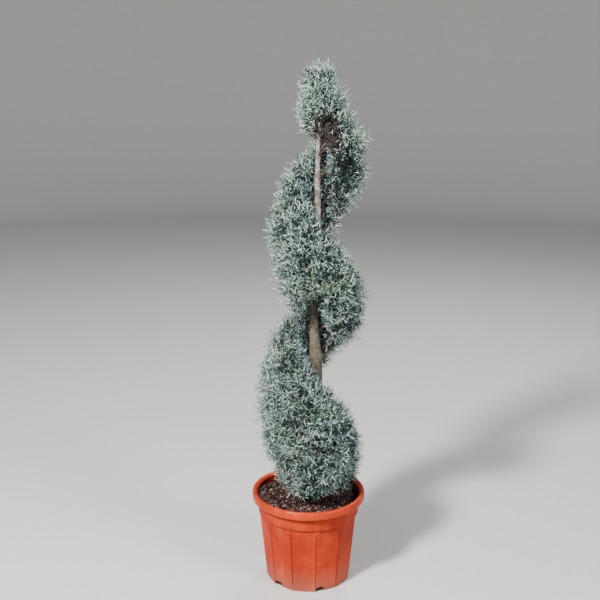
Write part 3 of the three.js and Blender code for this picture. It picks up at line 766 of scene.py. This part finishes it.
def band(turn):
    """Heights of the band's top edge, hem and ridge, its reach, and the hem's even course. The
    second turn's hem is clipped away behind the trunk and to its right, and most of all where it
    crosses the front of the trunk, which shows below it."""
    turn = np.asarray(turn, float)
    start = smooth(turn, *START_TURNS)
    end = smooth(turn, *END_TURNS)
    top = np.minimum(TOP_HEIGHT + TOP_PITCH * turn, TOP_MASS_FOOT - BAND_TOP_GAP) - START_DROP * (1 - start)
    climb = HEM_PITCH * np.maximum(0, turn - CLIMB_START) * smooth(turn, *CLIMB_TURNS)
    course = HEM_HEIGHT + climb + HEM_END_RISE * end
    clipped = HEM_LIFT * smooth(turn, *LIFT_TURNS) + HEM_STEP * smooth(turn, *STEP_TURNS)
    hem = course + clipped * (1 - smooth(turn, *RETURN_TURNS))
    taper = (turn - SPIRAL_START) / (SPIRAL_END - SPIRAL_START)
    reach = (REACH_LOW - REACH_DROP * taper) * (0.56 + 0.44 * start)
    swell = sum(growth * np.exp(-(((turn - middle) / width) ** 2)) for middle, width, growth in SWELLS)
    ridge = np.clip(RIDGE_HEIGHT + RIDGE_PITCH * turn, hem + EDGE_ROOM, top - EDGE_ROOM)
    return top, hem, ridge, (reach + swell) * (1 - END_SHRINK * end), course


def outward(turn):
    """The level direction away from the trunk: turn 0 is the front, and the band turns left."""
    angle = 2 * math.pi * np.asarray(turn, float)
    return np.stack((-np.sin(angle), -np.cos(angle), 0 * angle), -1)


def fullness(turn, lift):
    """How squarely the skin bulges: less where it slopes off above the last ridge."""
    return np.where(lift > 0, FULLNESS + SLOPE_GROWTH * smooth(turn, *SLOPE_TURNS), FULLNESS)


def skin(turn, lift, shrink=0.0, inset=0.0):
    """Points of the clipped skin, or of a smaller one inside it: lift runs from -1 at the hem,
    through 0 at the ridge, to 1 at the top edge. The last turn slopes off above its ridge."""
    turn, lift = np.broadcast_arrays(np.asarray(turn, float), np.asarray(lift, float))
    top, hem, ridge, reach, _ = band(turn)
    inner = trunk_radius(ridge) + CORE_CLEAR
    angle = lift * math.pi / 2
    across = np.maximum(np.cos(angle), 0) ** fullness(turn, lift)
    out = inner + np.maximum(0.008, reach - shrink - inner) * across
    top_inset = inset * (1 - 0.8 * smooth(turn, 1.5, 1.65))
    room = np.where(lift > 0, top - top_inset - ridge, ridge - hem - inset)
    height = ridge + np.maximum(room, 0.012) * np.sign(lift) * np.abs(np.sin(angle)) ** 0.9
    return axis_at(height) + outward(turn) * out[..., None]


def unit(vectors):
    return vectors / np.linalg.norm(vectors, axis=-1, keepdims=True)


masses = []
bough_shape = bmesh.new()
mass_width = (SPIRAL_END - SPIRAL_START) / BAND_MASSES
for index in range(BAND_MASSES):
    draw = seeded(BOUGH_SEED + index)
    start = SPIRAL_START + mass_width * index
    middle = start + mass_width / 2
    top, *_, course = band(middle)
    inner = float(trunk_radius((top + course) / 2)) + CORE_CLEAR
    entry = course + (top - course) * (0.46 + 0.1 * draw())
    away = outward(middle)
    direction = unit(away + (0, 0, BOUGH_RISE))
    root = trunk_centre(entry - inner * BOUGH_RISE)
    bark_at_root = float(trunk_radius(root[2]))
    girth = min(1, bark_at_root / THIN_TRUNK)
    toward = inner + BOUGH_REACH - away @ (root - axis_at(root[2]))
    length = toward / (away @ direction)
    across = unit(np.cross((0, 0, 1), direction))
    over = np.cross(direction, across)
    droop = draw() - 0.5

    def bough_place(along, turn):
        collar = 1 + COLLAR_GROWTH * math.exp(-along * length / COLLAR_LENGTH)
        radius = (BOUGH_BASE + (BOUGH_TIP * 0.75 - BOUGH_BASE) * along) / 2 * girth * collar
        angle = 2 * math.pi * turn
        bend = BOUGH_BEND * math.sin(math.pi * along)
        inside = 0.6 * bark_at_root
        run = inside + (length - inside) * along
        middle_line = root + direction * run + over * bend * droop + across * bend * (0.5 - abs(droop))
        return Vector(middle_line + (across * math.cos(angle) + over * math.sin(angle)) * radius)

    limb(bough_shape, 12, 14, bough_place)
    masses.append({"start": start, "middle": middle, "fork": root + direction * length,
                   "direction": direction})
bmesh.ops.recalc_face_normals(bough_shape, faces=bough_shape.faces)
bough_bark = speckled("bough_bark", BOUGH_COLOUR, 60, 0.55, 0.0007)
boughs = finished("bough_limbs", bough_shape, bough_bark, BARK_CREASE)
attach(boughs, "root")
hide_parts(*[f"bough_{index + 1:02d}" for index in range(BAND_MASSES)])

# Twigs: each bough goes on as a stem through the middle of its mass. Shoots leave the stem both
# ways, side limbs reach the same places from the trunk, and twigs leave them all round, each from
# a place nearer the stem than the part of the skin it grows to. They are thin, brown and bare.
TWIG_SEED = 300
TOP_SEED = 400
TWIG_SPACING = 0.030
INNER_SPACING = 0.028
TOP_SPACING = 0.022
TOP_ROWS = 12
CLUMP_CLOSENESS = 19
CLUMP_CONTRAST = 1.3
CLUMP_DEPTH = 0.020
TOP_CLUMP_DEPTH = 0.010
TWIG_FOOT_DEPTHS = (0.055, 0.035)  # inside the skin: level, and up or down
TWIG_ELBOW_DEPTHS = (0.07, 0.06)
STEM_END_DEPTHS = (0.045, 0.04)
SHOOT_END_DEPTHS = (0.055, 0.05)
LIMB_END_DEPTHS = (0.06, 0.05)
STEM_WIDTHS = (0.0080, 0.0030)
SHOOT_LIFTS = (-0.8, -0.5, -0.2, 0.2, 0.5, 0.8)
SHOOT_TURNS = (-0.3, 0.3)
SHOOT_WIDTHS = (0.0044, 0.0022)
SIDE_LIMBS = 5
TWIG_WIDTHS = (0.0024, 0.0012)
TWIG_COLOURS = {"shoot_bark": (0.042, 0.029, 0.026), "twig_bark": (0.060, 0.042, 0.037)}


def about_axis(points):
    """How far points lie from the leaning line, measured level, and at which turn about it."""
    level = (points - axis_at(points[..., 2]))[..., :2]
    return np.linalg.norm(level, axis=-1), np.arctan2(-level[..., 0], -level[..., 1]) / (2 * math.pi)


def clumps_at(tips):
    """Tufts stand out and sink back together, which leaves the dark hollows between them."""
    clumps = np.array([noise.noise(Vector(tip) * CLUMP_CLOSENESS) for tip in tips])
    return clumps, np.clip(0.5 - CLUMP_CONTRAST * clumps, 0, 1)


def rows_by_length(middle, spacing):
    """Lifts from the hem to the top edge that stand evenly along the skin of a mass."""
    lifts = np.linspace(-0.985, 0.985, 400)
    steps = np.linalg.norm(np.diff(skin(middle, lifts), axis=0), axis=1)
    run = np.concatenate(([0], np.cumsum(steps)))
    count = max(3, round(run[-1] / spacing))
    return np.interp((np.arange(count) + 0.5) / count * run[-1], run, lifts)


def curved(points, steps):
    """Points along a smooth curve that starts and ends at the first and last of three points."""
    share = np.linspace(0, 1, steps)[:, None, None]
    first, second, third = points
    return (1 - share) ** 2 * first + 2 * share * (1 - share) * second + share**2 * third


def tubes(paths, widths, sides):
    """Corners and faces of thin limbs along many paths at once, given as (steps, limbs, 3)."""
    steps, count, _ = paths.shape
    run = unit(np.gradient(paths, axis=0))
    across = unit(np.cross(run, (0.31, 0.17, 0.93)))
    over = np.cross(run, across)
    radius = np.linspace(widths[0], widths[1], steps)[:, None, None] / 2
    rings = [paths + radius * (across * math.cos(a) + over * math.sin(a))
             for a in 2 * math.pi * np.arange(sides) / sides]
    corners = np.stack(rings, 2).transpose(1, 0, 2, 3).reshape(-1, 3)
    first = (np.arange(count)[:, None] * steps + np.arange(steps - 1)).reshape(-1, 1) * sides
    side = np.arange(sides)
    a, b = first + side, first + (side + 1) % sides
    c, d = b + sides, a + sides
    faces = np.concatenate((np.stack((a, b, c), -1).reshape(-1, 3), np.stack((a, c, d), -1).reshape(-1, 3)))
    return corners, faces


wood = []
for number, mass in enumerate(masses):
    random = np.random.default_rng(TWIG_SEED + number)
    start, middle = mass["start"], mass["middle"]
    lifts, turns = [], []
    for lift in rows_by_length(middle, TWIG_SPACING):
        out, _ = about_axis(skin(middle, lift))
        count = max(1, round(mass_width * 2 * math.pi * out / TWIG_SPACING))
        places = (np.arange(count) + 0.5 + random.uniform(-0.38, 0.38, count)) / count
        turns.append(start + mass_width * places)
        lifts.append(np.full(count, lift) + random.normal(0, 0.025, count))
    turns, lifts = np.concatenate(turns), np.clip(np.concatenate(lifts), -0.995, 0.995)
    tips, bases = skin(turns, lifts), skin(turns, lifts, *TWIG_FOOT_DEPTHS)
    near = skin(turns + 0.35 * (middle - turns), lifts * 0.45, *TWIG_ELBOW_DEPTHS)

    # The inner face towards the trunk is thin and shaded, and part of it has died back.
    top, hem, *_ = band(middle)
    face_count = 2 * max(4, round(float(top - hem) / INNER_SPACING))
    face_turn = start + mass_width * random.uniform(0.02, 0.98, face_count)
    top, hem, ridge, reach, _ = band(face_turn)
    face_share = (np.arange(face_count) + random.uniform(0, 1, face_count)) / face_count
    face_height = hem + (top - hem) * face_share
    inner = trunk_radius(ridge) + CORE_CLEAR
    away = outward(face_turn)
    face_tip = axis_at(face_height) + away * (inner - random.uniform(0.004, 0.022, face_count))[:, None]
    face_base = face_tip + away * 0.045
    face_near = face_tip + away * np.minimum(0.07, (reach - inner) * 0.6)[:, None]
    face_lift = (face_height - ridge) / np.where(face_height > ridge, top - ridge, ridge - hem)
    inner_face = np.concatenate((np.zeros(len(turns), bool), np.ones(face_count, bool)))
    tips, bases = np.concatenate((tips, face_tip)), np.concatenate((bases, face_base))
    near, lifts = np.concatenate((near, face_near)), np.concatenate((lifts, face_lift))

    clumps, sunk = clumps_at(tips)
    growth = unit(tips - bases)
    depth = CLUMP_DEPTH * sunk + random.uniform(0, 0.006, len(tips))
    tips = tips - growth * np.where(inner_face, 0, depth)[:, None]
    mass.update(tips=tips, growth=growth, lifts=lifts, inner_face=inner_face, clumps=clumps)

    stem_end = skin(middle, 0.12, *STEM_END_DEPTHS)
    stem_start = mass["fork"] - mass["direction"] * 0.03
    stem = curved((stem_start[None], (mass["fork"] * 0.6 + stem_end * 0.4)[None], stem_end[None]), 12)
    wood.append((*tubes(stem, STEM_WIDTHS, 6), 0))
    shoot_lift, shoot_turn = (grid.ravel() for grid in np.meshgrid(SHOOT_LIFTS, SHOOT_TURNS))
    shoot_ends = skin(middle + shoot_turn * mass_width, shoot_lift * 0.8, *SHOOT_END_DEPTHS)
    leaving = stem[np.clip((9 - 8 * np.abs(shoot_lift)).astype(int), 1, 11), 0]
    bend = leaving * 0.35 + shoot_ends * 0.65 + random.normal(0, 0.008, shoot_ends.shape)
    shoots = curved((leaving, bend, shoot_ends), 8)
    limb_lift = np.linspace(-0.75, 0.75, SIDE_LIMBS) + random.uniform(-0.1, 0.1, SIDE_LIMBS)
    limb_turn = middle + mass_width * random.uniform(-0.3, 0.3, SIDE_LIMBS)
    limb_ends = skin(limb_turn, limb_lift, *LIMB_END_DEPTHS)
    limb_height = limb_ends[:, 2] - 0.05 - 0.02 * random.random(SIDE_LIMBS)
    limb_height = np.clip(limb_height, SOIL_LEVEL + 0.03, 1.6)
    limb_roots = trunk_centre(limb_height) + outward(limb_turn) * trunk_radius(limb_height)[:, None] * 0.6
    limb_bend = (limb_roots + limb_ends) / 2 + random.normal(0, 0.007, limb_ends.shape)
    side_limbs = curved((limb_roots, limb_bend, limb_ends), 8)
    shoots = np.concatenate((shoots, side_limbs), 1)
    wood.append((*tubes(shoots, SHOOT_WIDTHS, 5), 0))
    along = shoots[3:].reshape(-1, 3)
    nearest = np.argmin(np.linalg.norm(near[:, None] - along[None], axis=-1), axis=1)
    elbow = bases * 0.6 + near * 0.4 + random.normal(0, 0.009, bases.shape)
    twig_paths = curved((along[nearest], elbow, tips - growth * 0.010), 6)
    wood.append((*tubes(twig_paths, TWIG_WIDTHS, 3), 1))

top_foot = TOP_MASS_FOOT + TOP_MASS_GAP


def top_skin(turn, rise):
    """The skin of the pointed top, all round the leader, fullest low down on the right."""
    height = top_foot + (TOP_MASS_HEIGHT - top_foot) * rise
    nose = np.maximum(np.cos(math.pi / 2 * np.clip(rise, 0, 1) ** 1.7), 0) ** 0.8
    shoulder = 1 + 0.8 * np.maximum(0, 1 - 1.7 * rise) * np.maximum(0, np.cos(2 * math.pi * (turn - 0.8)))
    out = np.maximum(trunk_radius(height) + 0.004, TOP_MASS_REACH * shoulder * nose)
    return axis_at(height) + outward(turn) * out[..., None]


# Round the leader the twigs leave the trunk itself and rise steeply to the pointed top.
random = np.random.default_rng(TOP_SEED)
turns, rises = [], []
for rise in np.linspace(-0.05, 0.98, TOP_ROWS):
    out, _ = about_axis(top_skin(np.array(0.3), np.array(rise)))
    count = max(4, round(2 * math.pi * max(0.012, out) / TOP_SPACING))
    turns.append((np.arange(count) + random.uniform(0, 0.7, count)) / count)
    rises.append(rise + random.uniform(-0.03, 0.03, count))
turns, rises = np.concatenate(turns), np.clip(np.concatenate(rises), -0.06, 0.99)
tips = top_skin(turns, rises)
bases = trunk_centre(np.minimum(tips[:, 2] - 0.045, TIP_HEIGHT - 0.01))
growth = unit(tips - bases)
clumps, sunk = clumps_at(tips)
tips = tips - growth * (TOP_CLUMP_DEPTH * sunk)[:, None]
leader = {"tips": tips, "growth": growth, "lifts": rises, "clumps": clumps,
          "inner_face": np.zeros(len(tips), bool)}
elbow = (tips + bases) / 2 - (0, 0, 0.006) + random.normal(0, 0.004, tips.shape)
wood.append((*tubes(curved((bases, elbow, tips - growth * 0.008), 6), TWIG_WIDTHS, 3), 1))

foliage_nodes = [f"foliage_{index + 1:02d}" for index in range(BAND_MASSES)] + ["foliage_top"]
wood_materials = [speckled(name, colour, 80, 0.6) for name, colour in TWIG_COLOURS.items()]
wood_arrays = merged([(corners, faces, np.full(len(faces), kind)) for corners, faces, kind in wood])
twig_piece = joined("shoots_and_twigs", *wood_arrays, wood_materials)
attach(twig_piece, "root")
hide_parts(*foliage_nodes)

# Sprays: every twig ends in a tuft of green cords covered in tiny close scales, silver blue with
# waxy tips. Sprays near the light are dealt paler, yellower greens as painted light, those low down
# bluer, those inside the plant near black as painted shade, and a few on the shaded inner side are dead and
# brown.
OUTER_SEED = 500
INNER_SEED = 540
SPRAY_SEED = 600
LEADER_SEED = 640
FILL_SEED_STEP = 100
OUTER_LENGTH = (0.048, 0.073)
INNER_LENGTH = (0.055, 0.075)
FILL_LENGTH = 0.075
FILL_DEPTHS = (0.075, 0.06)
OUTER_SPRAYS = 5
INNER_SPRAYS = 1
FILL_PER_MASS = 80
LAST_SPRAY_SHARE = 0.4
INNER_FACE_SHARE = 0.85
LEADER_SHARE = 0.48
STRAY_SHARE = 0.08
STRAY_GROWTH = 0.016
SKIN_LIMIT = 1.28
STRAY_LIMIT = 1.9
SPRAY_SIZES = (1, 0.85, 0.7, 0.55)
SPRAY_UPTURN = 0.12
SPRAY_TEMPLATES = 12
SPRAY_TURN = 2.4
OUTER_CORD = 0.00138
OUTER_USUAL_LENGTH = 0.063
INNER_CORD = 0.0038
INNER_USUAL_LENGTH = 0.065
CORD_BEND = 0.19
TRUNK_CLEAR = 0.004
RIM_CLEAR = 0.006
WALL_CLEAR = 0.008
SOIL_GAP = 0.010
BOX_SPARE = 0.003
OVERHANG = 0.014
HOLLOWS = (  # the middle and the radius of each
    ((0.052, -0.050, 1.500), 0.040), ((0.042, -0.060, 1.550), 0.022),
    ((-0.037, -0.150, 0.466), 0.014), ((-0.049, -0.160, 0.588), 0.013),
    ((0.038, -0.160, 0.500), 0.012), ((0.004, -0.155, 0.400), 0.012),
)
DEAD_ROUND_HOLLOWS = 0.3
DEAD_INSIDE = 0.16
DULL_BELOW = 0.19
SILVER_BELOW = 0.39
FROST_ABOVE = 0.48
SHADE_BELOW = 0.50
GREENS = {
    # painted shade: the near-black green of the sprays deep inside the plant
    "deep_painted_shade": (0.006, 0.011, 0.013),
    "shade": (0.012, 0.027, 0.026),
    "grey": (0.070, 0.122, 0.102),
    "blue": (0.066, 0.118, 0.132),
    "silver": (0.285, 0.425, 0.375),
    "frost": (0.860, 0.980, 0.930),
    "aqua": (0.205, 0.330, 0.360),
    "lime": (0.520, 0.700, 0.430),
    "moss": (0.090, 0.135, 0.068),
    "dead": (0.030, 0.019, 0.017),
    "dry": (0.125, 0.088, 0.076),
}
green_names = list(GREENS)


def cord(root, direction, length, width, rings, random):
    """One crooked cord: it swells from its root through its rings to a point."""
    side = unit(np.cross(direction, random.normal(size=3)))
    other = np.cross(direction, side)
    corners = [root]
    for share, girth in rings:
        centre = root + (direction + random.normal(0, CORD_BEND, 3)) * length * share
        corners += [centre + (side * math.cos(a) + other * math.sin(a)) * width * girth / 2
                    for a in (0, 2 * math.pi / 3, 4 * math.pi / 3)]
    corners.append(root + (direction + random.normal(0, CORD_BEND, 3)) * length)
    faces, last = [(0, 2, 1), (0, 3, 2), (0, 1, 3)], 3 * (len(rings) - 1)
    for ring in range(0, last, 3):
        for a, b in ((1 + ring, 2 + ring), (2 + ring, 3 + ring), (3 + ring, 1 + ring)):
            faces += [(a, b, b + 3), (a, b + 3, a + 3)]
    faces += [(last + 1, last + 2, last + 4), (last + 2, last + 3, last + 4), (last + 3, last + 1, last + 4)]
    return np.array(corners), np.array(faces)


def spray_template(seed, width, rings, stem_ends, side_cords, forks):
    """A spray one unit long on +X, in corners, faces and the tone of each face: 0 body, 1 tip,
    2 between them."""
    random = np.random.default_rng(seed)
    parts = []

    def line(x):
        return np.array((x, 0.08 * math.sin(3 * x + seed), 0.07 * math.sin(2.2 * x + 2 * seed)))

    def grow(root, direction, length, girth, tone, rings=rings):
        corners, faces = cord(root, direction, length, width * girth, rings, random)
        tones = np.full(len(faces), tone)
        tones[:3] = 0
        parts.append((corners, faces, tones))

    for start, end in stem_ends:
        run = line(end) - line(start)
        grow(line(start), unit(run), np.linalg.norm(run), 1.15 - 0.3 * end, 2 * int(start > 0))
    turn = random.uniform(0, 2 * math.pi)
    for index in range(side_cords):
        x = max(0, 0.06 + 0.70 * (index + random.uniform(-0.3, 0.3)) / (side_cords - 1))
        turn += SPRAY_TURN + random.uniform(-0.4, 0.4)
        spread = random.uniform(0.55, 1.3)
        aside = math.sin(spread)
        direction = np.array((math.cos(spread), aside * math.cos(turn), aside * math.sin(turn)))
        length = (0.56 - 0.24 * x) * random.uniform(0.7, 1.15)
        grow(line(x), direction, length, random.uniform(0.85, 1.1), (1, 2, 0, 1)[index % 4])
        if index < forks:
            sideways = unit(np.cross(direction, random.normal(size=3)))
            fork_root = line(x) + direction * length * random.uniform(0.3, 0.55)
            grow(fork_root, direction * 0.8 + sideways * 0.6, length * random.uniform(0.4, 0.6), 0.85,
                 1 + index % 2, ((0.45, 1),))
    return merged(parts)


outer_templates = [spray_template(OUTER_SEED + i, OUTER_CORD / OUTER_USUAL_LENGTH, ((0.3, 1), (0.68, 0.95)),
                                  ((0, 0.5), (0.43, 1)), 6, 4) for i in range(SPRAY_TEMPLATES)]
inner_templates = [spray_template(INNER_SEED + i, INNER_CORD / INNER_USUAL_LENGTH, ((0.45, 1),),
                                  ((0, 0.55), (0.45, 1)), 8, 0) for i in range(SPRAY_TEMPLATES)]


def stray_of_band(points, middle):
    """How far points lie towards or past the clipped skin of the band: 1 is on it."""
    out, turn = about_axis(points)
    turn = turn - np.round(turn - middle)
    top, hem, ridge, reach, _ = band(turn)
    inner = trunk_radius(ridge) + CORE_CLEAR
    above = points[..., 2] - ridge
    across = np.maximum(0, out - inner) / np.maximum(reach - inner, 0.01)
    along = np.abs(above) / np.maximum(np.where(above > 0, top - ridge, ridge - hem), 0.012)
    shape = across ** (2 / fullness(turn, above)) + along**2.222
    beyond = np.maximum(SPIRAL_START - 0.02 - turn, turn - SPIRAL_END - 0.06)
    return np.where(beyond > 0, 9.0, shape)


def stray_of_top(points):
    """The same for the pointed top."""
    rise = (points[..., 2] - top_foot) / (TOP_MASS_HEIGHT - top_foot)
    out, turn = about_axis(points)
    reach = about_axis(top_skin(turn, np.clip(rise, -0.3, 1)))[0] + 0.008
    return np.where((rise > 1.02) | (rise < -0.35), 9.0, (out / reach) ** 2)


low_corner, high_corner = (np.array(corner) for corner in solid_box)


def clear(points):
    """True where a point keeps off the bark, the rim, the compost and past the plant's reach."""
    in_box = np.all((points > low_corner - BOX_SPARE) & (points < high_corner + BOX_SPARE), axis=-1)
    out = np.linalg.norm(points[..., :2], axis=-1)
    off_pot = (points[..., 2] > POT_HEIGHT + RIM_CLEAR) | (out < WALL_TOP_RADIUS - WALL_CLEAR)
    off_soil = points[..., 2] > SOIL_LEVEL + SOIL_GAP + heap(points[..., 0], points[..., 1])
    from_trunk = np.linalg.norm((points - trunk_centre(points[..., 2]))[..., :2], axis=-1)
    off_bark = from_trunk - trunk_radius(points[..., 2]) > TRUNK_CLEAR
    return in_box & off_pot & off_soil & off_bark


def in_hollow(points, margin=1.0):
    """True for places where the foliage is open to the wood inside it, or close to such a place."""
    return np.any([np.linalg.norm(points - centre, axis=-1) < margin * radius for centre, radius in HOLLOWS],
                  axis=0)


TEST_POINTS = np.array([(1, 0, 0), (0.75, 0.36, 0), (0.75, -0.36, 0), (0.75, 0, 0.36), (0.75, 0, -0.36),
                        (0.4, 0.4, 0), (0.4, -0.4, 0), (0.4, 0, 0.4), (0.4, 0, -0.4)])


def fitting_sizes(roots, frames, lengths, limits, mass):
    """For each spray the largest size at which it keeps to its space, or 0 where none does."""
    sizes = np.zeros(len(roots))
    for size in SPRAY_SIZES:
        reach = (lengths * size)[:, None, None]
        tests = roots[:, None] + np.einsum("nij,pj->npi", frames, TEST_POINTS) * reach
        stray = stray_of_top(tests) if mass is leader else stray_of_band(tests, mass["middle"])
        fits = np.all((stray < limits[:, None]) & clear(tests), axis=1) & ~np.any(in_hollow(tests), axis=1)
        sizes = np.where((sizes == 0) & fits, size, sizes)
    return sizes


def tuft(mass, index, random):
    """One spray at each twig of a mass. The first goes on from the twig, the next ones lean out
    round it, and the last are the ones deep inside, coloured near black as painted shade."""
    tips, growth, inner_face = mass["tips"], mass["growth"], mass["inner_face"]
    count = len(tips)
    first, deep_painted_shade = index == 0, index >= OUTER_SPRAYS
    lean = np.stack((random.uniform(-0.6, 0.6, count), random.uniform(-0.6, 0.6, count),
                     random.uniform(0.4, 1, count)), -1)
    lean = unit(lean - growth * np.sum(lean * growth, -1, keepdims=True))
    angle = (SPRAY_TURN * index + random.uniform(-0.6, 0.6, count))[:, None]
    sideways = lean * (np.cos(angle) + 0.55) + np.cross(growth, lean) * np.sin(angle)
    direction = unit(growth + lean * 0.75 if first else growth * 0.5 + sideways)
    length = random.uniform(*(INNER_LENGTH if deep_painted_shade else OUTER_LENGTH), count)
    length = length * (1 if deep_painted_shade else 1 - 0.05 * index)
    stray = random.random(count) < (STRAY_SHARE if first else 0.01)
    back = length * 0.72 if first else 0.004 + 0.007 * index + length * 0.26
    share = np.where(inner_face, INNER_FACE_SHARE, LAST_SPRAY_SHARE if index == OUTER_SPRAYS - 1 else 1.0)
    if mass is leader and not (first or deep_painted_shade):
        share = share * LEADER_SHARE
    keep = random.random(count) < share
    return [array[keep] for array in (
        tips - growth * back[:, None], direction, length + STRAY_GROWTH * stray,
        np.where(stray, STRAY_LIMIT, SKIN_LIMIT), mass["lifts"], mass["clumps"], inner_face,
        np.full(count, deep_painted_shade))]


def fill(mass, seed, random):
    """Sprays strewn through the middle of a mass, which close it to the light; they are coloured near black
    as painted shade.
    """
    turns = np.random.default_rng(seed).uniform(mass["start"], mass["start"] + mass_width, FILL_PER_MASS)
    lifts = random.uniform(-0.9, 0.9, FILL_PER_MASS)
    places = skin(turns, lifts, *FILL_DEPTHS)
    direction = outward(turns) * random.uniform(-0.3, 1, (FILL_PER_MASS, 1))
    direction = unit(direction + random.normal(0, 0.5, places.shape))
    full = np.ones(FILL_PER_MASS)
    return [places, direction, FILL_LENGTH * full, full, lifts, 0 * full, full == 0, full == 1]


def outer_tones(random, place, light, clump):
    """The greens of an outer spray's body, tips and other cords, by its height, by painted light on
    the upper side of its mass, by painted shade where its tuft sinks back, and by chance."""
    low = np.clip((1.15 - place[2]) / 0.8, 0, 1)
    # Tufts that stand out and sprays on the upper side draw paler greens, sunk tufts darker ones: painted
    # light and painted shade.
    chance = random.random() + 0.60 * clump + 0.12 * light
    body = "shade" if chance < SHADE_BELOW else "blue" if random.random() < 0.25 + 0.35 * low else "grey"
    if chance < DULL_BELOW:
        return body, "grey", body
    if chance < SILVER_BELOW:
        return body, "aqua" if random.random() < 0.35 + 0.3 * low else "silver", "blue"
    warm = (0.10 + 0.26 * light + 1.1 * max(0, noise.noise(Vector(place) * 11))) * (1 - 0.6 * low)
    if random.random() < warm:
        return "moss" if random.random() < 0.5 else "grey", "lime", "moss" if chance < 0.6 else "silver"
    return (body, "frost", "silver") if chance > FROST_ABOVE + 0.08 * low else (body, "silver", "grey")


def spray_arrays(mass, seed):
    """The sprays of one mass, as corners, faces and the material of each face."""
    random = np.random.default_rng(seed)
    batches = [tuft(mass, index, random) for index in range(OUTER_SPRAYS + INNER_SPRAYS)]
    if mass is not leader:
        batches.append(fill(mass, seed + FILL_SEED_STEP, random))
    roots, directions, lengths, limits, lifts, clumps, insides, deep_painted_shades = (
        np.concatenate(arrays) for arrays in zip(*batches))
    across = unit(np.cross(directions, random.normal(size=directions.shape)))
    frames = np.stack((directions, across, np.cross(directions, across)), -1)
    sizes = fitting_sizes(roots, frames, lengths, limits, mass)
    dying = in_hollow(roots + directions * lengths[:, None] * 0.5, 1.6)
    dying &= random.random(len(roots)) < DEAD_ROUND_HOLLOWS
    dying |= insides & (random.random(len(roots)) < DEAD_INSIDE * (1 - lifts))
    kinds = random.integers(SPRAY_TEMPLATES, size=len(roots))
    parts = []
    for index in np.flatnonzero(sizes):
        corners, faces, marks = (inner_templates if deep_painted_shades[index] else outer_templates)[kinds[index]]
        length = lengths[index] * sizes[index]
        placed = roots[index] + corners @ frames[index].T * length
        placed[:, 2] += SPRAY_UPTURN * length * np.clip(corners[:, 0], 0, 1) ** 2
        if np.any((placed < low_corner - OVERHANG) | (placed > high_corner + OVERHANG)):
            continue
        if dying[index]:
            tones = "dead", "dry", "dead"
        # The deep sprays get near-black greens: painted shade.
        elif deep_painted_shades[index]:
            tones = "deep_painted_shade", "shade" if random.random() < 0.35 else "deep_painted_shade", "deep_painted_shade"
        elif insides[index]:
            body = "blue" if random.random() < 0.5 else "shade"
            tones = body, ("silver", "aqua", "frost", "frost")[random.integers(4)], "aqua"
        else:
            tones = outer_tones(random, roots[index], np.clip(lifts[index], 0, 1), clumps[index])
        parts.append((placed, faces, np.array([green_names.index(tone) for tone in tones])[marks]))
    return merged(parts)


greens = []
for name, colour in GREENS.items():
    material, tree, shader = new_material("scale_leaf_" + name, 0.62, 0.3)
    feed(tree, shader.inputs["Base Color"], colour)
    greens.append(material)

for number in range(BAND_MASSES // 2):
    pair = (2 * number, 2 * number + 1)
    parts = [spray_arrays(masses[index], SPRAY_SEED + index) for index in pair]
    stands_for = [foliage_nodes[index] for index in pair]
    if pair[1] == BAND_MASSES - 1:
        parts.append(spray_arrays(leader, LEADER_SEED))
        stands_for.append("foliage_top")
    sprays = joined(f"sprays_{number + 1:02d}", *merged(parts), greens)
    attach(sprays, "root")
    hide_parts(*stands_for)
